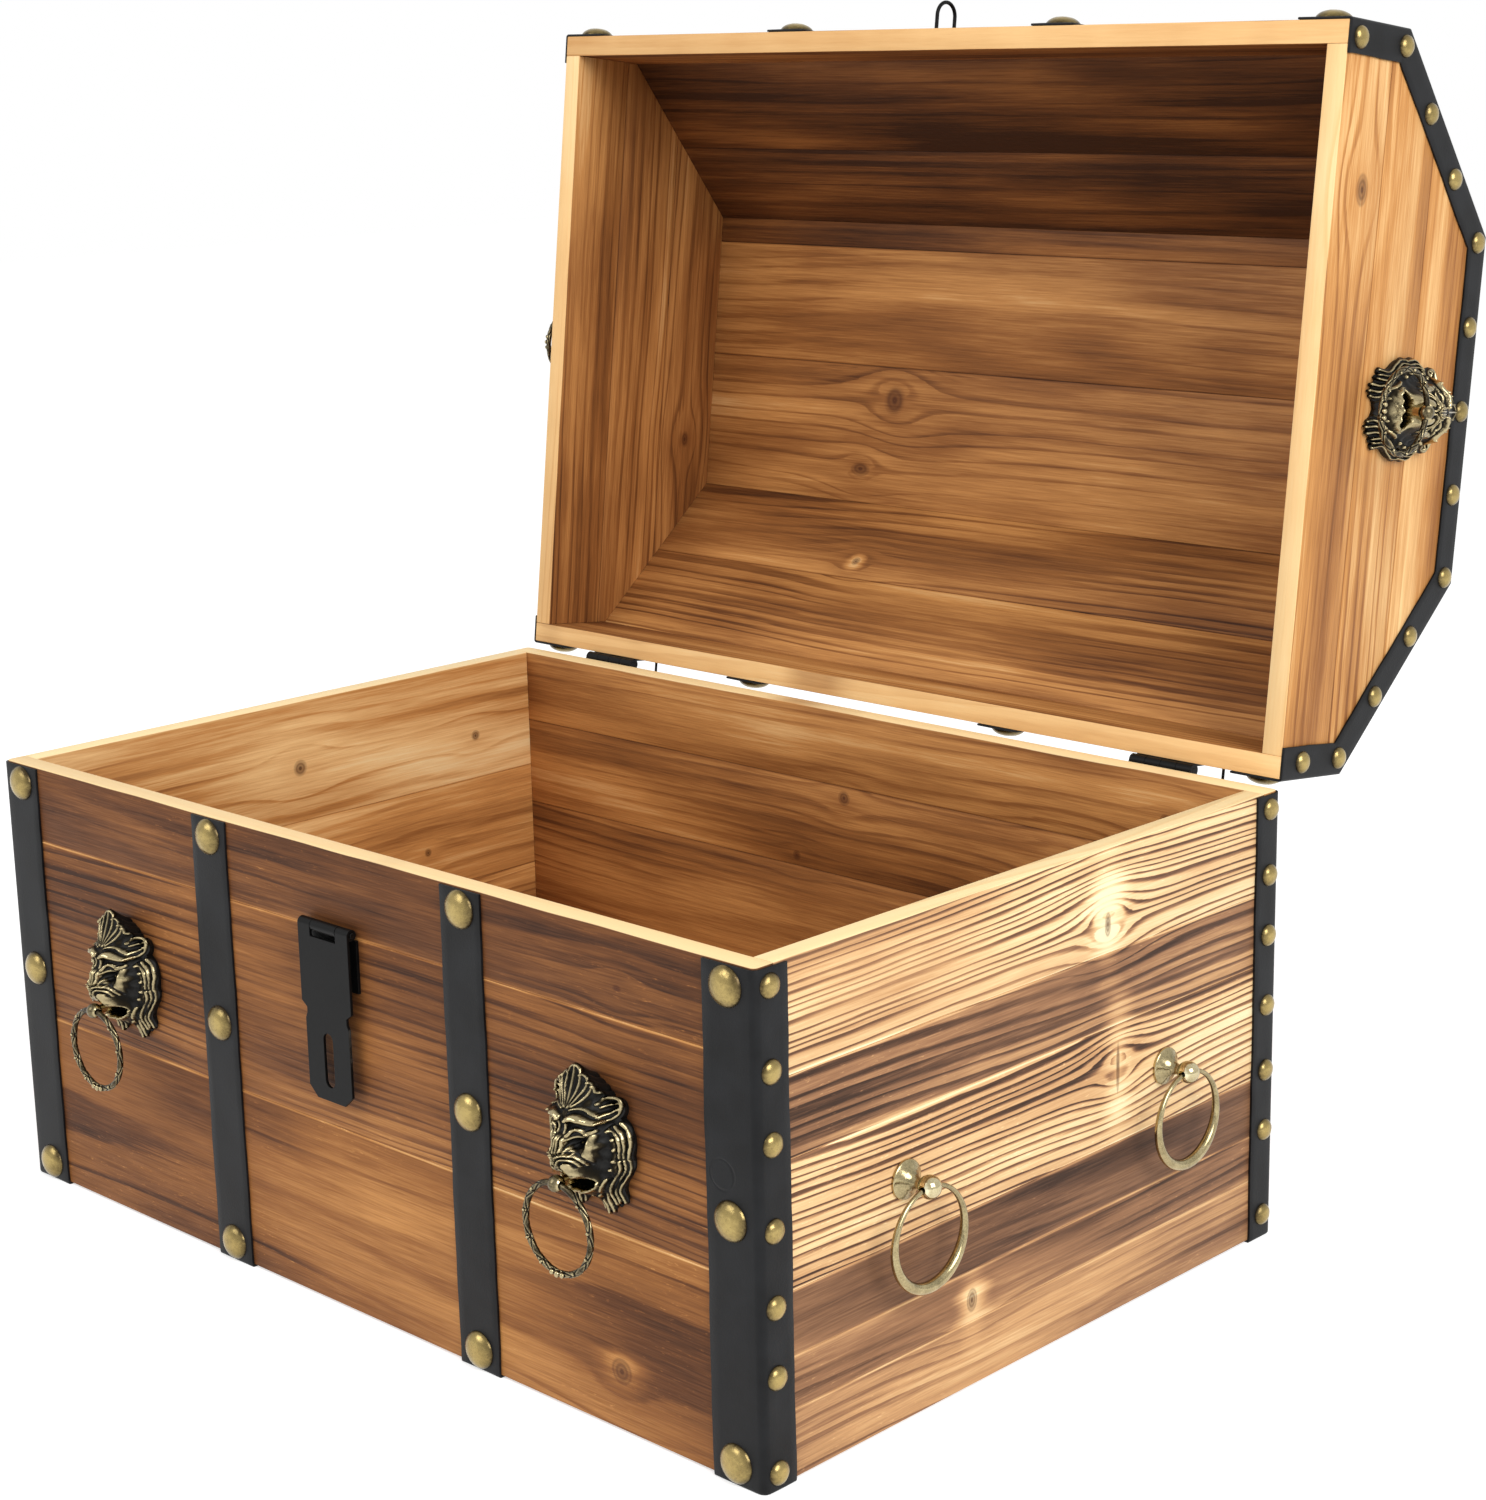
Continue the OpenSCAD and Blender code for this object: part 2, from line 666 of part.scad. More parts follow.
// Height of the mask's face above the board, f being the share of the way out to its edge
function mask_height(p, f, i) =
    mask_edge_t + 9 * (1 - pow(f, 3))                   // body of the casting
    + (f > 0.55 ? (i % 2 == 0 ? 0.8 : -0.5) : 0)        // ribs of the crown and locks of the mane
    + 7 * min(1, max(0, (p[1] - 28) / 8)) * exp(-pow(p[0] / 15, 4))     // crown, which curls forward
    + 4.5 * swell(p, 0, 26, 10, 8)                      // forehead
    + 2 * pair(p, 5.5, 24.5, 4, 2.6)                    // brows
    - 2.5 * pair(p, 6.8, 15.5, 2.6, 1.8)                // eyes
    + 3.5 * pair(p, 10.6, 12.5, 3.5, 6)                 // cheeks
    + 8.5 * swell(p, 0, 6, 7.5, 5.5)                    // muzzle
    + 5 * swell(p, 0, 13, 3, 6)                         // nose
    - 7 * swell(p, 0, -1.8, 7, 2.6)                     // mouth
    + 6 * swell(p, 0, -7, 6, 3.2);                      // chin

module mask_casting() {
    n = len(mask_rim);
    rings = len(MASK_RINGS);
    face = [for (f = MASK_RINGS) for (i = [0:n - 1])
        let (p = between(MASK_MIDDLE, mask_rim[i], f)) [p[0], p[1], mask_height(p, f, i)]];
    back = [for (p = mask_rim) [p[0], p[1], 0]];
    tip = [[MASK_MIDDLE[0], MASK_MIDDLE[1], mask_height(MASK_MIDDLE, 0, 1)]];
    last = n * rings;
    polyhedron(
        points = concat(face, back, tip, [[MASK_MIDDLE[0], MASK_MIDDLE[1], 0]]),
        faces = concat(
            [for (i = [0:n - 1]) [last + n, i, (i + 1) % n]],
            [for (k = [0:rings - 1]) for (i = [0:n - 1]) [k * n + i, (k + 1) * n + i, k * n + (i + 1) % n]],
            [for (k = [0:rings - 1]) for (i = [0:n - 1])
                [k * n + (i + 1) % n, (k + 1) * n + i, (k + 1) * n + (i + 1) % n]],
            [for (i = [0:n - 1]) [last + n + 1, last + (i + 1) % n, last + i]]
        )
    );
}

// Hole in a bead for a bent rod of radius rod on a ring of radius ring
function bead_hole(bead, rod, ring) = rod + ring - sqrt(ring * ring - bead * bead) + play;

// Mask with the bead that its ring hangs from, drawn on Z = 0 with the bead over the origin
module lion_mask() {
    stem_top = bead_reach - bead_r + 2 * (bead_r - sqrt(bead_r * bead_r - stem_r * stem_r));
    hole_r = bead_hole(bead_r, lion_ring_rod_d / 2, lion_ring_r);
    color(BRONZE) {
        mask_casting();
        difference() {
            union() {
                translate([0, 0, stem_foot]) cylinder(stem_top - stem_foot, r = stem_r);
                translate([0, 0, bead_reach]) sphere(bead_r);
            }
            translate([0, 0, bead_reach])
                rotate([0, 90, 0])
                    cylinder(3 * bead_r, r = hole_r, center = true);
        }
        for (z = mask_peg_z)
            translate([0, z, -peg_len]) cylinder(peg_len + mask_edge_t, r = peg_r);
    }
}

// Ring of a lion pull, hanging from the bead
module lion_ring() {
    color(BRONZE)
        translate([0, -lion_ring_r, bead_reach])
            rotate_extrude()
                translate([lion_ring_r, 0]) circle(lion_ring_rod_d / 2);
}

module at_front_lion(x) {
    translate([x, -box_d / 2, front_lion_z]) face_front() children();
}

module at_lid_lion(side) {
    on_lid() translate([side * lid_w / 2, 0, lid_lion_z]) face_end(side) children();
}

// Side pulls: a turned post with a drilled ball, and a ring that swells towards its foot
module side_post() {
    bell = rosette_r - post_neck_r;
    neck_top = ball_reach - sqrt(ball_r * ball_r - post_neck_r * post_neck_r);
    color(RING_BRASS) difference() {
        union() {
            rotate_extrude()
                polygon([
                    [0, 0], [rosette_r, 0], [rosette_r, rosette_t],
                    [rosette_r - 0.15 * bell, 1.7 * rosette_t], [rosette_r - 0.55 * bell, 2.7 * rosette_t],
                    [rosette_r - 0.87 * bell, 4.5 * rosette_t], [post_neck_r, neck_top - eps],
                    [post_neck_r, neck_top + rosette_t], [0, neck_top + rosette_t]
                ]);
            translate([0, 0, ball_reach]) sphere(ball_r);
            translate([0, 0, -peg_len]) cylinder(peg_len + 1, r = peg_r);
        }
        translate([0, 0, ball_reach])
            rotate([0, 90, 0])
                cylinder(3 * ball_r, r = bead_hole(ball_r, side_ring_thin_d / 2, side_ring_r), center = true);
    }
}

module side_ring() {
    turns = 40;
    sides = 10;
    function rod_r(a) = between(side_ring_thin_d, side_ring_thick_d, (1 - cos(a)) / 2) / 2;
    points = [for (i = [0:turns - 1]) for (j = [0:sides - 1])
        let (a = 360 * i / turns, b = 360 * j / sides, r = side_ring_r + rod_r(a) * cos(b))
        [r * sin(a), r * cos(a) - side_ring_r, ball_reach + rod_r(a) * sin(b)]];
    corner = [for (i = [0:turns - 1]) for (j = [0:sides - 1])
        [i * sides + j, i * sides + (j + 1) % sides,
         ((i + 1) % turns) * sides + (j + 1) % sides, ((i + 1) % turns) * sides + j]];
    color(RING_BRASS)
        polyhedron(points = points, faces = concat(
            [for (q = corner) [q[0], q[2], q[1]]], [for (q = corner) [q[0], q[3], q[2]]]));
}

module at_side_pull(sx, sy) {
    translate([sx * box_w / 2, sy * side_pull_y, side_pull_z]) face_end(sx) children();
}

// Every node, drawn where it is on the open trunk
box_long_board(-1);  // box_front_board
box_long_board(1);  // box_back_board
box_end_board(-1);  // box_left_board
box_end_board(1);  // box_right_board
box_bottom_panel();
corner_strap(-1, -1);  // corner_strap_front_left
corner_strap(1, -1);  // corner_strap_front_right
corner_strap(-1, 1);  // corner_strap_back_left
corner_strap(1, 1);  // corner_strap_back_right
middle_strap(-1, -1);  // front_strap_left
middle_strap(1, -1);  // front_strap_right
middle_strap(-1, 1);  // back_strap_left
middle_strap(1, 1);  // back_strap_right
box_large_nails();
box_small_nails();
hinge_box_leaf(-1);  // hinge_box_leaf_left
hinge_box_leaf(1);  // hinge_box_leaf_right
hinge_pin(-1);  // hinge_pin_left
hinge_pin(1);  // hinge_pin_right
hinge_box_screws();
hasp_base();
hasp_pin();
hasp_screws();
hasp_strap();
at_front_lion(lion_left_x) lion_mask();  // lion_mask_front_left
at_front_lion(lion_right_x) lion_mask();  // lion_mask_front_right
at_front_lion(lion_left_x) lion_ring();  // front_ring_left
at_front_lion(lion_right_x) lion_ring();  // front_ring_right
at_side_pull(-1, -1) side_post();  // side_post_left_front
at_side_pull(-1, 1) side_post();  // side_post_left_back
at_side_pull(1, -1) side_post();  // side_post_right_front
at_side_pull(1, 1) side_post();  // side_post_right_back
at_side_pull(-1, -1) side_ring();  // side_ring_left_front
at_side_pull(-1, 1) side_ring();  // side_ring_left_back
at_side_pull(1, -1) side_ring();  // side_ring_right_front
at_side_pull(1, 1) side_ring();  // side_ring_right_back
lid_slat(0);  // lid_front_board
lid_slat(1);  // lid_front_slope
lid_slat(2);  // lid_top_board
lid_slat(3);  // lid_back_slope
lid_slat(4);  // lid_back_board
lid_end(-1);  // lid_end_left
lid_end(1);  // lid_end_right
lid_trim(-1);  // lid_trim_left
lid_trim(1);  // lid_trim_right
lid_strap(-1);  // lid_strap_left
lid_strap(1);  // lid_strap_right
lid_large_nails();
lid_small_nails();
hinge_lid_leaf(-1);  // hinge_lid_leaf_left
hinge_lid_leaf(1);  // hinge_lid_leaf_right
hinge_lid_screws();
lid_brads();
padlock_staple();
at_lid_lion(-1) lion_mask();  // lion_mask_lid_left
at_lid_lion(1) lion_mask();  // lion_mask_lid_right
at_lid_lion(-1) lion_ring();  // lid_ring_left
at_lid_lion(1) lion_ring();  // lid_ring_right
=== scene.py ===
# %% [markdown]
# This lesson dresses a small wooden trunk: torched pine boards, black leather straps, domed nails,
# a hasp, lion masks with rings, and turned ring pulls. The sizes and the moving bodies come ready
# made, as a fixed frame in metres, with +X to the right, +Y to the back and +Z up. Each piece made
# here takes the place of a plain one in that frame and rides on the same body, so the lid still
# opens and every ring still swings.

# %% Load the frame
import json
import math
from contextlib import contextmanager

import bpy
import numpy as np
from mathutils import Matrix, Quaternion, Vector


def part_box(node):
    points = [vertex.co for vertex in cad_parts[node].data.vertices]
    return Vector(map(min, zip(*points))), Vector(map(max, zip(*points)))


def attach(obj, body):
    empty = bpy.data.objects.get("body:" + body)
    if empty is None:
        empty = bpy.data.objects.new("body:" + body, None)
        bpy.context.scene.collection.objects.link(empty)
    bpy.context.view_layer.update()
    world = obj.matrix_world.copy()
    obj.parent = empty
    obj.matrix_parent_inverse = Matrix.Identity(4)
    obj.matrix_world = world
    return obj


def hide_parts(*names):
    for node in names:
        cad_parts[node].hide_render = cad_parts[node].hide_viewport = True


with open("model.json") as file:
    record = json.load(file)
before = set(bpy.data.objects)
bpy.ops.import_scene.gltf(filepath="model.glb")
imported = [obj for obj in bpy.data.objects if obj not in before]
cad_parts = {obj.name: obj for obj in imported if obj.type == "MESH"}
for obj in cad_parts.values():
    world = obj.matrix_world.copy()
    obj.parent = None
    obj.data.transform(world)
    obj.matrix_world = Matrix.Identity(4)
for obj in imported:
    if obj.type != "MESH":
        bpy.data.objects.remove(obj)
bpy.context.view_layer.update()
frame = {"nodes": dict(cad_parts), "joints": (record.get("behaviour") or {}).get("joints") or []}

MM = 0.001

# %% [markdown]
# The camera comes first, because it settles how fine every later detail must be. The photograph was
# taken from the right-hand front corner, a little above the rim, with a long lens: the upright
# corners of the box stay almost parallel. Its place was worked out from the corners of the box and
# of the open lid, and it also leans over by about one degree.

# %% Camera
CAMERA_PLACE = Vector((972.6, -907.7, 551.1)) * MM
CAMERA_TURN = math.radians(44.41)       # round from straight in front
CAMERA_DROP = math.radians(13.78)       # below the horizon
CAMERA_LEAN = math.radians(-1.26)
LENS = 69.84

sight = Vector((-math.sin(CAMERA_TURN) * math.cos(CAMERA_DROP),
                math.cos(CAMERA_TURN) * math.cos(CAMERA_DROP), -math.sin(CAMERA_DROP)))
bpy.ops.object.camera_add(location=CAMERA_PLACE)
camera = bpy.context.object
camera.rotation_mode = "QUATERNION"
camera.rotation_quaternion = sight.to_track_quat("-Z", "Y") @ Quaternion((0, 0, 1), CAMERA_LEAN)
camera.data.lens = LENS
camera.data.clip_end = 20
bpy.context.scene.camera = camera
print("camera looks along", [round(c, 3) for c in sight])

# %% [markdown]
# A finish is a tree of shader nodes. Wiring one by hand takes a line for each node and each link, so
# three small classes shorten it: a Wire is an output that arithmetic works on, a Tree makes nodes and
# links them, and a Finish is the tree of a material. With them, a finish reads like the formula that
# it is.

# %% Wires
class Wire:
    """An output in a tree of nodes. Arithmetic on it adds Math nodes."""

    def __init__(self, tree, socket):
        self.tree = tree
        self.socket = socket

    def math(self, operation, *others):
        return self.tree.node("Math", {"operation": operation}, dict(enumerate((self, *others))))

    def __add__(self, other):
        return self.math("ADD", other)

    __radd__ = __add__

    def __mul__(self, other):
        return self.math("MULTIPLY", other)

    __rmul__ = __mul__

    def __sub__(self, other):
        return self.math("SUBTRACT", other)

    def __rsub__(self, other):
        return self.tree.node("Math", {"operation": "SUBTRACT"}, {0: other, 1: self})

    def __truediv__(self, other):
        return self.math("DIVIDE", other)

    def __pow__(self, other):
        return self.math("POWER", other)

    def clamped(self):
        return self.math("MAXIMUM", 0.0).math("MINIMUM", 1.0)

    def step(self, low, high):
        """0 below low, 1 above high, and a smooth rise between them."""
        return self.tree.node("MapRange", {"interpolation_type": "SMOOTHSTEP"},
                              {"Value": self, "From Min": low, "From Max": high})


# %% [markdown]
# A tree has one method for every kind of node. The settings are made first, because the sockets of
# some nodes depend on them, and then each input is given a number, a colour or a wire.

# %% Trees
class Tree:
    """The shader nodes of a material or of the world."""

    def __init__(self, owner):
        owner.use_nodes = True
        self.nodes = owner.node_tree.nodes
        self.links = owner.node_tree.links

    def node(self, kind, settings=None, inputs=None, output=0):
        """Adds a node. Its settings come first, because some of them change its sockets."""
        made = self.nodes.new("ShaderNode" + kind)
        for name, setting in (settings or {}).items():
            if name == "stops":
                self.set_stops(made.color_ramp, setting)
            else:
                setattr(made, name, setting)
        for name, given in (inputs or {}).items():
            self.feed(made.inputs[name], given)
        return Wire(self, made.outputs[output])

    def feed(self, socket, given):
        if isinstance(given, Wire):
            self.links.new(given.socket, socket)
        else:
            socket.default_value = given

    @staticmethod
    def set_stops(ramp, stops):
        while len(ramp.elements) < len(stops):
            ramp.elements.new(1)
        for element, (place, color) in zip(ramp.elements, stops):
            element.position = place
            element.color = color


# %% [markdown]
# A material's tree ends in one Principled shader. The nodes that are used most get short names here,
# which keeps the finishes below readable.

# %% Finishes
class Finish(Tree):
    """A material under construction, with one Principled shader at its end."""

    def __init__(self, name):
        self.material = bpy.data.materials.new(name)
        super().__init__(self.material)
        self.shader = self.nodes["Principled BSDF"]

    def split(self, vector):
        """The three numbers of a vector, each as a wire."""
        first = self.node("SeparateXYZ", inputs={"Vector": vector})
        return [Wire(self, output) for output in first.socket.node.outputs]

    def join(self, x=0.0, y=0.0, z=0.0):
        return self.node("CombineXYZ", inputs={"X": x, "Y": y, "Z": z})

    def noise(self, vector, scale=1.0, detail=2.0, roughness=0.5):
        """Cloudy noise about 0, from about -0.5 to 0.5."""
        return self.node("TexNoise", inputs={"Vector": vector, "Scale": scale, "Detail": detail,
                                             "Roughness": roughness}) - 0.5

    def ramp(self, value, stops):
        """The colour that a value has on a row of stops, each of them a place and a colour."""
        return self.node("ValToRGB", {"stops": stops}, {"Fac": value})

    def mix(self, share, first, second):
        """Two colours in one. A Mix node has sockets for every kind of data: 6 and 7 are colours."""
        return self.node("Mix", {"data_type": "RGBA"}, {0: share, 6: first, 7: second}, output=2)

    def bump(self, height, depth, strength=1.0):
        return self.node("Bump", inputs={"Height": height, "Distance": depth, "Strength": strength})

    def wear(self, **sockets):
        """Sets sockets of the shader by their names, such as base_color or roughness."""
        for name, given in sockets.items():
            socket = name.replace("_", " ").title().replace("Ior", "IOR")
            self.feed(self.shader.inputs[socket], given)
        return self.material


def paint(red, green, blue):
    """A colour as it looks on a screen, from 0 to 255, as the linear colour that shaders use."""
    linear = [c / 12.92 if c <= 0.04045 else ((c + 0.055) / 1.055) ** 2.4
              for c in (red / 255, green / 255, blue / 255)]
    return (*linear, 1.0)


# %% [markdown]
# The photograph has a white ground and plain soft light, a little brighter on the right-hand end than
# on the front. Big soft lamps and a pale surround do the same. The floor takes the trunk's shadow,
# and the camera and the metal both see it as white.

# %% Floor, surround and lamps
FLOOR_SIZE = 12.0
FLOOR_TONE = (0.80, 0.80, 0.80, 1)
FLOOR_GLOW = 0.5        # what the floor adds for the camera, so that it looks white
SURROUND_LIGHT = 0.62   # how strongly the surround lights the trunk
WHITE = (1.0, 1.0, 1.0, 1)


def white_for_camera(tree, lit, bright):
    """Shows bright to the camera and to glossy rays, and lit to the rest."""
    seen = tree.node("LightPath", output="Is Camera Ray")
    for kind in ("Is Glossy Ray", "Is Transmission Ray"):
        seen = seen.math("MAXIMUM", tree.node("LightPath", output=kind))
    return tree.node("MixShader", inputs={0: seen, 1: lit, 2: bright})


bpy.ops.mesh.primitive_plane_add(size=FLOOR_SIZE)
floor = bpy.context.object
floor.name = "floor"
pale = Finish("pale_floor")
floor.data.materials.append(pale.wear(base_color=FLOOR_TONE, roughness=0.9, specular_ior_level=0.0))
floor_lit = Wire(pale, pale.shader.outputs[0])
floor_glow = pale.node("Emission", inputs={"Strength": FLOOR_GLOW})
floor_bright = pale.node("AddShader", inputs={0: floor_lit, 1: floor_glow})
pale.feed(pale.nodes["Material Output"].inputs[0], white_for_camera(pale, floor_lit, floor_bright))

studio = bpy.data.worlds.new("studio")
bpy.context.scene.world = studio
surround = Tree(studio)
surround_lit = surround.node("Background", inputs={"Color": WHITE, "Strength": SURROUND_LIGHT})
surround_bright = surround.node("Background", inputs={"Color": WHITE})
surround.feed(surround.nodes["World Output"].inputs[0],
              white_for_camera(surround, surround_lit, surround_bright))


def lamp(name, place, target, size, power):
    """A square soft lamp that faces its target."""
    bpy.ops.object.light_add(type="AREA", location=place)
    made = bpy.context.object
    made.name = name
    made.rotation_euler = (Vector(target) - Vector(place)).to_track_quat("-Z", "Y").to_euler()
    made.data.size = size
    made.data.energy = power


lamp("right_lamp", (2.2, -0.5, 1.5), (0.1, 0, 0.2), 1.4, 46)
lamp("front_lamp", (-0.8, -2.2, 1.9), (0, 0, 0.15), 1.6, 30)
bpy.context.scene.view_settings.view_transform = "Standard"
print("the studio has a floor of", FLOOR_SIZE, "m and two soft lamps")

# %% [markdown]
# All pieces are worked on in the same way. An operator acts on everything that is selected, and the
# frame arrives selected, so one helper selects exactly what the next operator should touch, and
# another opens a piece's whole mesh for editing. A third copies a piece of the frame to work on: its
# triangles are loose, so the copy is merged and its flat faces are joined up again.

# %% Select, edit and copy
SAME_PLACE = 1e-6   # points of a mesh that are nearer to each other than this are one point
SEAM_GAP = 2e-6     # and so are two points of a sheet, where its edges meet


def only(*pieces):
    """Selects these pieces and nothing else, with the first of them active."""
    bpy.ops.object.select_all(action="DESELECT")
    for piece in pieces:
        piece.select_set(True)
    bpy.context.view_layer.objects.active = pieces[0]


@contextmanager
def whole_mesh(piece):
    """Edit mode on one piece, with all of its mesh selected."""
    only(piece)
    bpy.ops.object.mode_set(mode="EDIT")
    bpy.ops.mesh.select_all(action="SELECT")
    yield
    bpy.ops.object.mode_set(mode="OBJECT")


def settle(piece):
    """Moves the object's place, turn and size into its mesh."""
    only(piece)
    bpy.ops.object.transform_apply(location=True, rotation=True, scale=True)


def copy_of(node, name):
    """A clean copy of a piece of the frame."""
    made = frame["nodes"][node].copy()
    made.data = made.data.copy()
    made.name = name
    made.parent = None
    for key in list(made.keys()):
        del made[key]
    bpy.context.scene.collection.objects.link(made)
    made.data.materials.clear()
    with whole_mesh(made):
        bpy.ops.mesh.customdata_custom_splitnormals_clear()
        bpy.ops.mesh.remove_doubles(threshold=SAME_PLACE)
        bpy.ops.mesh.dissolve_limited(angle_limit=math.radians(0.5))
    return made


# %% [markdown]
# Every piece is finished by modifiers that are applied at once, such as a bevel that rounds its
# edges. Then it gets its material and its body, and the plain piece that it replaces is hidden.

# %% Soften, smooth and fit
def modify(piece, kind, **settings):
    """Adds a modifier and applies it at once."""
    only(piece)
    modifier = piece.modifiers.new(kind.lower(), kind)
    for name, value in settings.items():
        setattr(modifier, name, value)
    bpy.ops.object.modifier_apply(modifier=modifier.name)


def soften(piece, width, angle):
    """Rounds every edge that is sharper than the angle."""
    modify(piece, "BEVEL", width=width, segments=2, limit_method="ANGLE",
           angle_limit=math.radians(angle), use_clamp_overlap=True)


def smooth(piece, angle):
    """Shades the piece smooth, apart from the edges that are sharper than the angle."""
    only(piece)
    bpy.ops.object.shade_smooth_by_angle(angle=math.radians(angle))


def merge(pieces, name):
    """Joins several pieces into one."""
    only(*pieces)
    bpy.ops.object.join()
    pieces[0].name = name
    return pieces[0]


def fit(piece, body, finish, node):
    """Gives a finished piece its material, and puts it on its body in place of a plain node."""
    piece.data.materials.clear()
    piece.data.materials.append(finish)
    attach(piece, body)
    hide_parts(node)
    print("made", piece.name, "with", len(piece.data.polygons), "faces")


# %% [markdown]
# The lid stands open in the photograph, so its boards lie at odd angles. A small class holds a face
# of a board as three directions: along the grain, across it, and out of the board. Everything that
# has to know where it is on a board, be it a saw cut or the pattern of the grain, asks the face.

# %% Faces of boards
class Face:
    """A board's outer face: an origin, and the directions along its grain and across it."""

    def __init__(self, origin, along, across):
        self.origin = Vector(origin)
        self.along = Vector(along)
        self.across = Vector(across)
        self.out = self.along.cross(self.across)
        self.turn = Matrix((self.along, self.across, self.out)).transposed()

    def at(self, along, across, out=0.0):
        """The point at these distances, in metres."""
        return self.origin + self.along * along + self.across * across + self.out * out

    def matrix(self, along, across, out=0.0):
        """The place of something that is drawn facing +Z, put on this face."""
        return Matrix.Translation(self.at(along, across, out)) @ self.turn.to_4x4()


box_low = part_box("box_front_board")[0]
box_high = Vector((*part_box("box_back_board")[1][:2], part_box("box_front_board")[1].z))
BOX_W = box_high.x - box_low.x
BOX_D = box_high.y - box_low.y
BOX_H = box_high.z
RIGHT, BACK, UP = Vector((1, 0, 0)), Vector((0, 1, 0)), Vector((0, 0, 1))

hinge = next(j for j in frame["joints"] if j["name"] == "lid_hinge")
HINGE = Vector(hinge["pos_m"])
OPEN_ANGLE = math.radians(hinge["range_deg"][1])
LID_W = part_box("lid_end_right")[1].x * 2
LID_SETBACK = 5 * MM
LID_D = BOX_D - LID_SETBACK
LID_H = 131.5 * MM
LID_SIDE_H = 49 * MM
LID_TOP_D = 164 * MM
RIM_GAP = 0.4 * MM
opening = Matrix.Rotation(-OPEN_ANGLE, 4, "X")
LID_BACK = opening.to_3x3() @ BACK
LID_UP = opening.to_3x3() @ UP


def lid_point(x, y, z):
    """A point of the open lid, given from the middle of its rim as on the shut lid."""
    shut = Vector((x, y + LID_SETBACK / 2, z + BOX_H + RIM_GAP))
    return HINGE + opening.to_3x3() @ (shut - HINGE)


def lid_outline(grow=0.0):
    """Corners of the lid's end from the front rim to the back rim, grown outwards."""
    slope = math.atan2(LID_H - LID_SIDE_H, (LID_D - LID_TOP_D) / 2)
    y = LID_D / 2 + grow
    z = LID_SIDE_H + grow * math.tan(math.pi / 4 - slope / 2)
    top = LID_TOP_D / 2 + grow * math.tan(slope / 2)
    return [(-y, 0), (-y, z), (-top, LID_H + grow), (top, LID_H + grow), (y, z), (y, 0)]


faces = {
    "front": Face((0, box_low.y, 0), RIGHT, UP),
    "back": Face((0, box_high.y, 0), -RIGHT, UP),
    "right": Face((box_high.x, 0, 0), BACK, UP),
    "left": Face((box_low.x, 0, 0), -BACK, UP),
    "bottom": Face((0, 0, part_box("box_bottom_panel")[1].z), RIGHT, BACK),
    "lid_right": Face(lid_point(LID_W / 2, 0, 0), LID_BACK, LID_UP),
    "lid_left": Face(lid_point(-LID_W / 2, 0, 0), -LID_BACK, LID_UP),
}
SLAT_NAMES = ("lid_front", "lid_front_slope", "lid_top", "lid_back_slope", "lid_back")
corners = lid_outline()
for slat, start, end in zip(SLAT_NAMES, corners[:-1], corners[1:]):
    rise = lid_point(0, *end) - lid_point(0, *start)
    faces[slat] = Face(lid_point(0, *start), RIGHT, rise.normalized())
print("lid opens to", round(math.degrees(OPEN_ANGLE)), "degrees")

# %% [markdown]
# The boards are fast-grown pine, torched with a burner and brushed: the flame browns the soft early
# wood of each year, and the hard late wood stays as lines. The pattern can't be painted on, because
# the grain must run through the board and come out on its edges. So it is worked out in the solid:
# the distance from the tree's heart, which wanders as it passes behind the board, is cut into years.
# Round a knot the years part like water round a stone. The flame's patches, long streaks and the
# fine fibres are noises stretched along the grain. A noise has waves of about one metre, so a place
# times 170 gives waves of 6 mm.

# %% Colours of the pine
BURNT = [   # from untouched wood to charred wood
    (0.00, paint(255, 232, 180)),
    (0.20, paint(238, 194, 134)),
    (0.42, paint(196, 138, 78)),
    (0.62, paint(148, 95, 49)),
    (0.82, paint(101, 60, 30)),
    (1.00, paint(56, 31, 16)),
]
ASHEN = [   # the same, as the greyer right-hand end has it
    (0.00, paint(255, 236, 190)),
    (0.20, paint(240, 203, 150)),
    (0.42, paint(203, 156, 108)),
    (0.62, paint(150, 108, 76)),
    (0.82, paint(100, 69, 49)),
    (1.00, paint(58, 39, 28)),
]
KNOT_HEART = paint(72, 35, 18)
LINE_HEART = 0.48, 0.86     # where in a year its dark line begins and is full
LINE_END = 0.92, 1.0        # where it fades again
PALE_SEAM = 0.3 * MM, 1.3 * MM
DARK_SEAM = 0.1 * MM, 0.8 * MM
RIM_EDGE = 0.1 * MM, 0.5 * MM
BOX_RIM_BURN = 0.10     # how much of the wall's burn its rim keeps
LID_RIM_BURN = 0.34
KNOT_STRETCH = 1.6      # how much longer than wide the grain's swerve is
KNOT_PUSH = 0.5

# %% [markdown]
# A knot is a branch that the trunk grew round. It needs three things: the swerve of the grain, a
# dark round heart with a few rings, and often a pale glow, where the flame was held off by resin.
# All three are told by how far a point is from the knot's middle.

# %% Knots
def flow_round(across, along, knots):
    """Bends the lines of the grain round each knot, as water flows round a stone."""
    bent = across
    for knot in knots:
        reach = knot["swerve"] ** 2
        beside = (along - knot["along"]) / KNOT_STRETCH
        above = across - knot["across"]
        bent = bent - above * reach / (beside * beside + above * above + KNOT_PUSH * reach)
    return bent


def from_knot(along, across, knot, size):
    """Distance from a knot's middle: 1 at the edge of an oval of this size."""
    beside = (along - knot["along"]) / size[0]
    above = (across - knot["across"]) / size[1]
    return (beside * beside + above * above) ** 0.5


